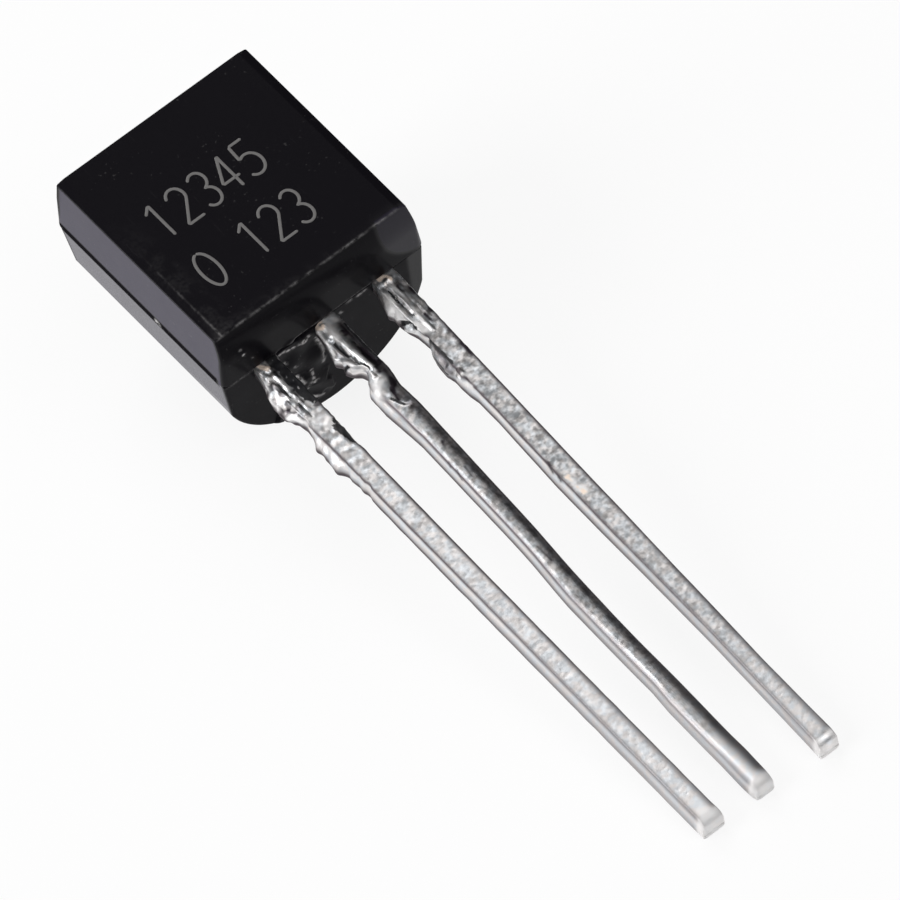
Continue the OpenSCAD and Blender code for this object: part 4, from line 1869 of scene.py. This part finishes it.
def collector_lead() -> Lead:
    """Describes lead 3: long folds by the body, and nicks and bare copper half-way along.

    Returns:
        The lead, not yet built.
    """
    return Lead(
        "collector_lead", 31, TinPlating("tin_collector_lead", 0.30, 0.88, 0.006),
        line=((0, 1.27), (2.6, 1.19), (6.0, 1.08), (9.0, 1.015), (12.5, 0.91)),
        pin_1_edge=(
            (0.02, 0.0), (0.25, 0.06), (0.44, 0.115), (0.55, 0.145), (0.66, 0.09), (0.76, 0.10),
            (1.0, 0.07), (1.23, 0.0), (1.53, -0.03), (1.69, 0.04), (1.9, 0.085), (2.17, 0.10),
            (2.35, 0.05), (2.5, 0.055), (2.75, 0.04), (2.95, 0.0), (3.5, -0.01), (5.2, 0.02),
            (7.4, -0.01), (9.5, -0.03), (12.0, -0.03), (12.5, -0.02),
        ),
        pin_3_edge=(
            (0, 0.0), (4.5, -0.01), (6.5, -0.01), (8.0, -0.03), (10.5, -0.045), (12.5, -0.01),
        ),
        # A lump at the root, ridges and a groove along the top, a fold across the side with its lip,
        # a long groove, and a drop of tin in the shape of a hook.
        relief=strokes(
            (0.045, 0.07, (0.03, -0.05), (0.12, 0.01)),
            (0.030, 0.035, (0.15, -0.05), (0.8, -0.05), (1.44, -0.03)),
            (-0.030, 0.025, (0.2, -0.12), (0.6, -0.12), (0.95, -0.10)),
            (0.016, 0.03, (0.3, 0.08), (1.2, 0.10)),
            (-0.060, 0.045, (0.80, -0.46), (0.9, -0.36), (1.1, -0.27)),
            (0.030, 0.06, (1.0, -0.46), (1.2, -0.36)),
            (-0.030, 0.05, (1.5, -0.28), (2.1, -0.30)),
            (0.030, 0.05, (2.40, -0.22), (2.52, -0.22), (2.56, -0.30), (2.44, -0.33)),
        ),
        # Bare copper at the root, and two spots of it half-way along.
        copper=strokes(
            (1.2, 0.08, (0.02, -0.05), (0.14, 0.02)),
            (0.58, 0.075, (5.36, -0.11), (5.42, -0.10)),
            (0.58, 0.095, (5.67, -0.08), (5.76, -0.06)),
        ),
        # A thin line on the top, the fold, and two lines beyond it.
        resin=strokes(
            (0.8, 0.035, (0.2, -0.125), (0.6, -0.125)),
            (1.0, 0.045, (0.84, -0.44), (0.95, -0.35), (1.03, -0.30), (1.2, -0.25)),
            (0.9, 0.04, (1.5, -0.25), (1.62, -0.2), (2.2, -0.2)),
            (0.9, 0.04, (1.8, -0.43), (2.2, -0.43)),
        ),
        # Lines on the top, shade painted in the fold and the long groove, the drop, three nicks in the
        # edge, and a faint stripe of painted shade along the rounded edge towards the tip.
        stain_and_shade=strokes(
            (0.6, 0.03, (0.2, 0.05), (0.8, 0.04), (1.3, 0.07)),
            (0.6, 0.05, (0.5, 0.19), (1.4, 0.2)),
            (0.45, 0.07, (1.6, 0.2), (2.2, 0.2)),
            (0.4, 0.03, (0.2, -0.11), (0.7, -0.11)),
            (0.7, 0.06, (1.42, -0.2), (1.6, -0.26)),
            (0.85, 0.075, (1.72, -0.27), (2.0, -0.31), (2.28, -0.34)),
            (0.8, 0.04, (2.0, 0.19), (2.3, 0.17)),
            (0.8, 0.025, (2.60, -0.21), (2.64, -0.22)),
            (0.9, 0.030, (4.88, -0.19), (4.95, -0.21)),
            (0.9, 0.035, (4.98, -0.26), (5.08, -0.29)),
            (0.9, 0.035, (5.22, -0.26), (5.30, -0.29)),
            (0.35, 0.09, (8.0, 0.22), (10.0, 0.18), (12.3, 0.16)),
        ),
        # Highlights painted white on the ridge and fold, the two spots of copper, the lip and the drop,
        # and last a spot of bright tin where the tip's painted highlight is taken away.
        painted_highlight=strokes(
            (0.95, 0.03, (0.18, -0.04), (0.53, 0.0), (1.44, -0.06)),
            (1.0, 0.10, (0.44, -0.20), (0.68, -0.38)),
            (1.0, 0.065, (0.60, -0.36), (0.80, -0.26), (1.08, -0.19), (1.35, -0.14)),
            (1.0, 0.07, (5.36, -0.11), (5.46, -0.09)),
            (1.0, 0.08, (5.66, -0.08), (5.78, -0.05)),
            (0.6, 0.05, (1.03, -0.44), (1.25, -0.30)),
            (0.7, 0.03, (0.25, -0.25), (0.5, -0.36)),
            (0.8, 0.03, (2.5, -0.2), (2.6, -0.15)),
            (0.8, 0.035, (2.62, -0.32), (2.78, -0.27)),
            (-0.95, 0.075, (12.34, 0.02), (12.40, 0.03)),
        ),
        roughness=((0, 0.38), (11.5, 0.42), (12.0, 0.45), (12.2, 0.36)),
        mottle=((0, 0.2), (1.3, 0.4), (1.6, 1.0), (5.0, 0.9), (9.0, 0.6), (12.0, 0.0)),
        lean=((1.6, 0.0), (2.6, 0.03), (6.0, 0.045), (12.5, 0.04)),
        plate=(0.295, 2.05, 2.4, 1.6), short=0.06, unrest=0.0025, shoulder=0.45,
    )


def dress_sealed_parts(package: PackageFrame) -> None:
    """Gives the chip, its solder and the bond wires their finishes.

    Args:
        package: The frame that the patterns follow.
    """
    gold = PlainFinish("gold_wire", (0.78, 0.55, 0.20, 1.0), 1.0, 0.15)
    finishes = {
        "chip": PlainFinish("silicon", (0.10, 0.11, 0.14, 1.0), 0.6, 0.10),
        "chip_solder": PlainFinish("soft_solder", (0.42, 0.42, 0.44, 1.0), 1.0, 0.30),
        "emitter_bond_wire": gold,
        "base_bond_wire": gold,
    }
    for node, finish in finishes.items():
        dress(frame["nodes"][node], finish.material(package))


def main() -> None:
    """Builds the part and its studio, and reports each piece."""
    logging.basicConfig(level=logging.INFO, format="%(name)s: %(message)s")
    moulding = Moulding()
    leads = [emitter_lead(), base_lead(), collector_lead()]
    package = PackageFrame.from_record(frame["record"], moulding.front_depth, leads[0].length)
    effects = Effects()

    body = moulding.build(package)
    dress(body, MouldedEpoxy().material(effects, package))
    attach(body, "root")
    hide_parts("moulded_body")
    log.info("%s: %d faces", body.name, len(body.data.polygons))

    for lead in leads:
        piece = lead.build(package)
        dress(piece, lead.finish.material(effects, package))
        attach(piece, "root")
        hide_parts(lead.node)
        log.info("%s: %d faces", piece.name, len(piece.data.polygons))

    marks = Marking(moulding.front_depth).build(package)
    dress(marks, PlainFinish("burnt_marking", (0.135, 0.13, 0.128, 1.0), 0.0, 0.55).material(package))
    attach(marks, "root")
    log.info("%s: %d faces", marks.name, len(marks.data.polygons))

    dress_sealed_parts(package)
    Studio().build(package)


if __name__ == "__main__":
    main()
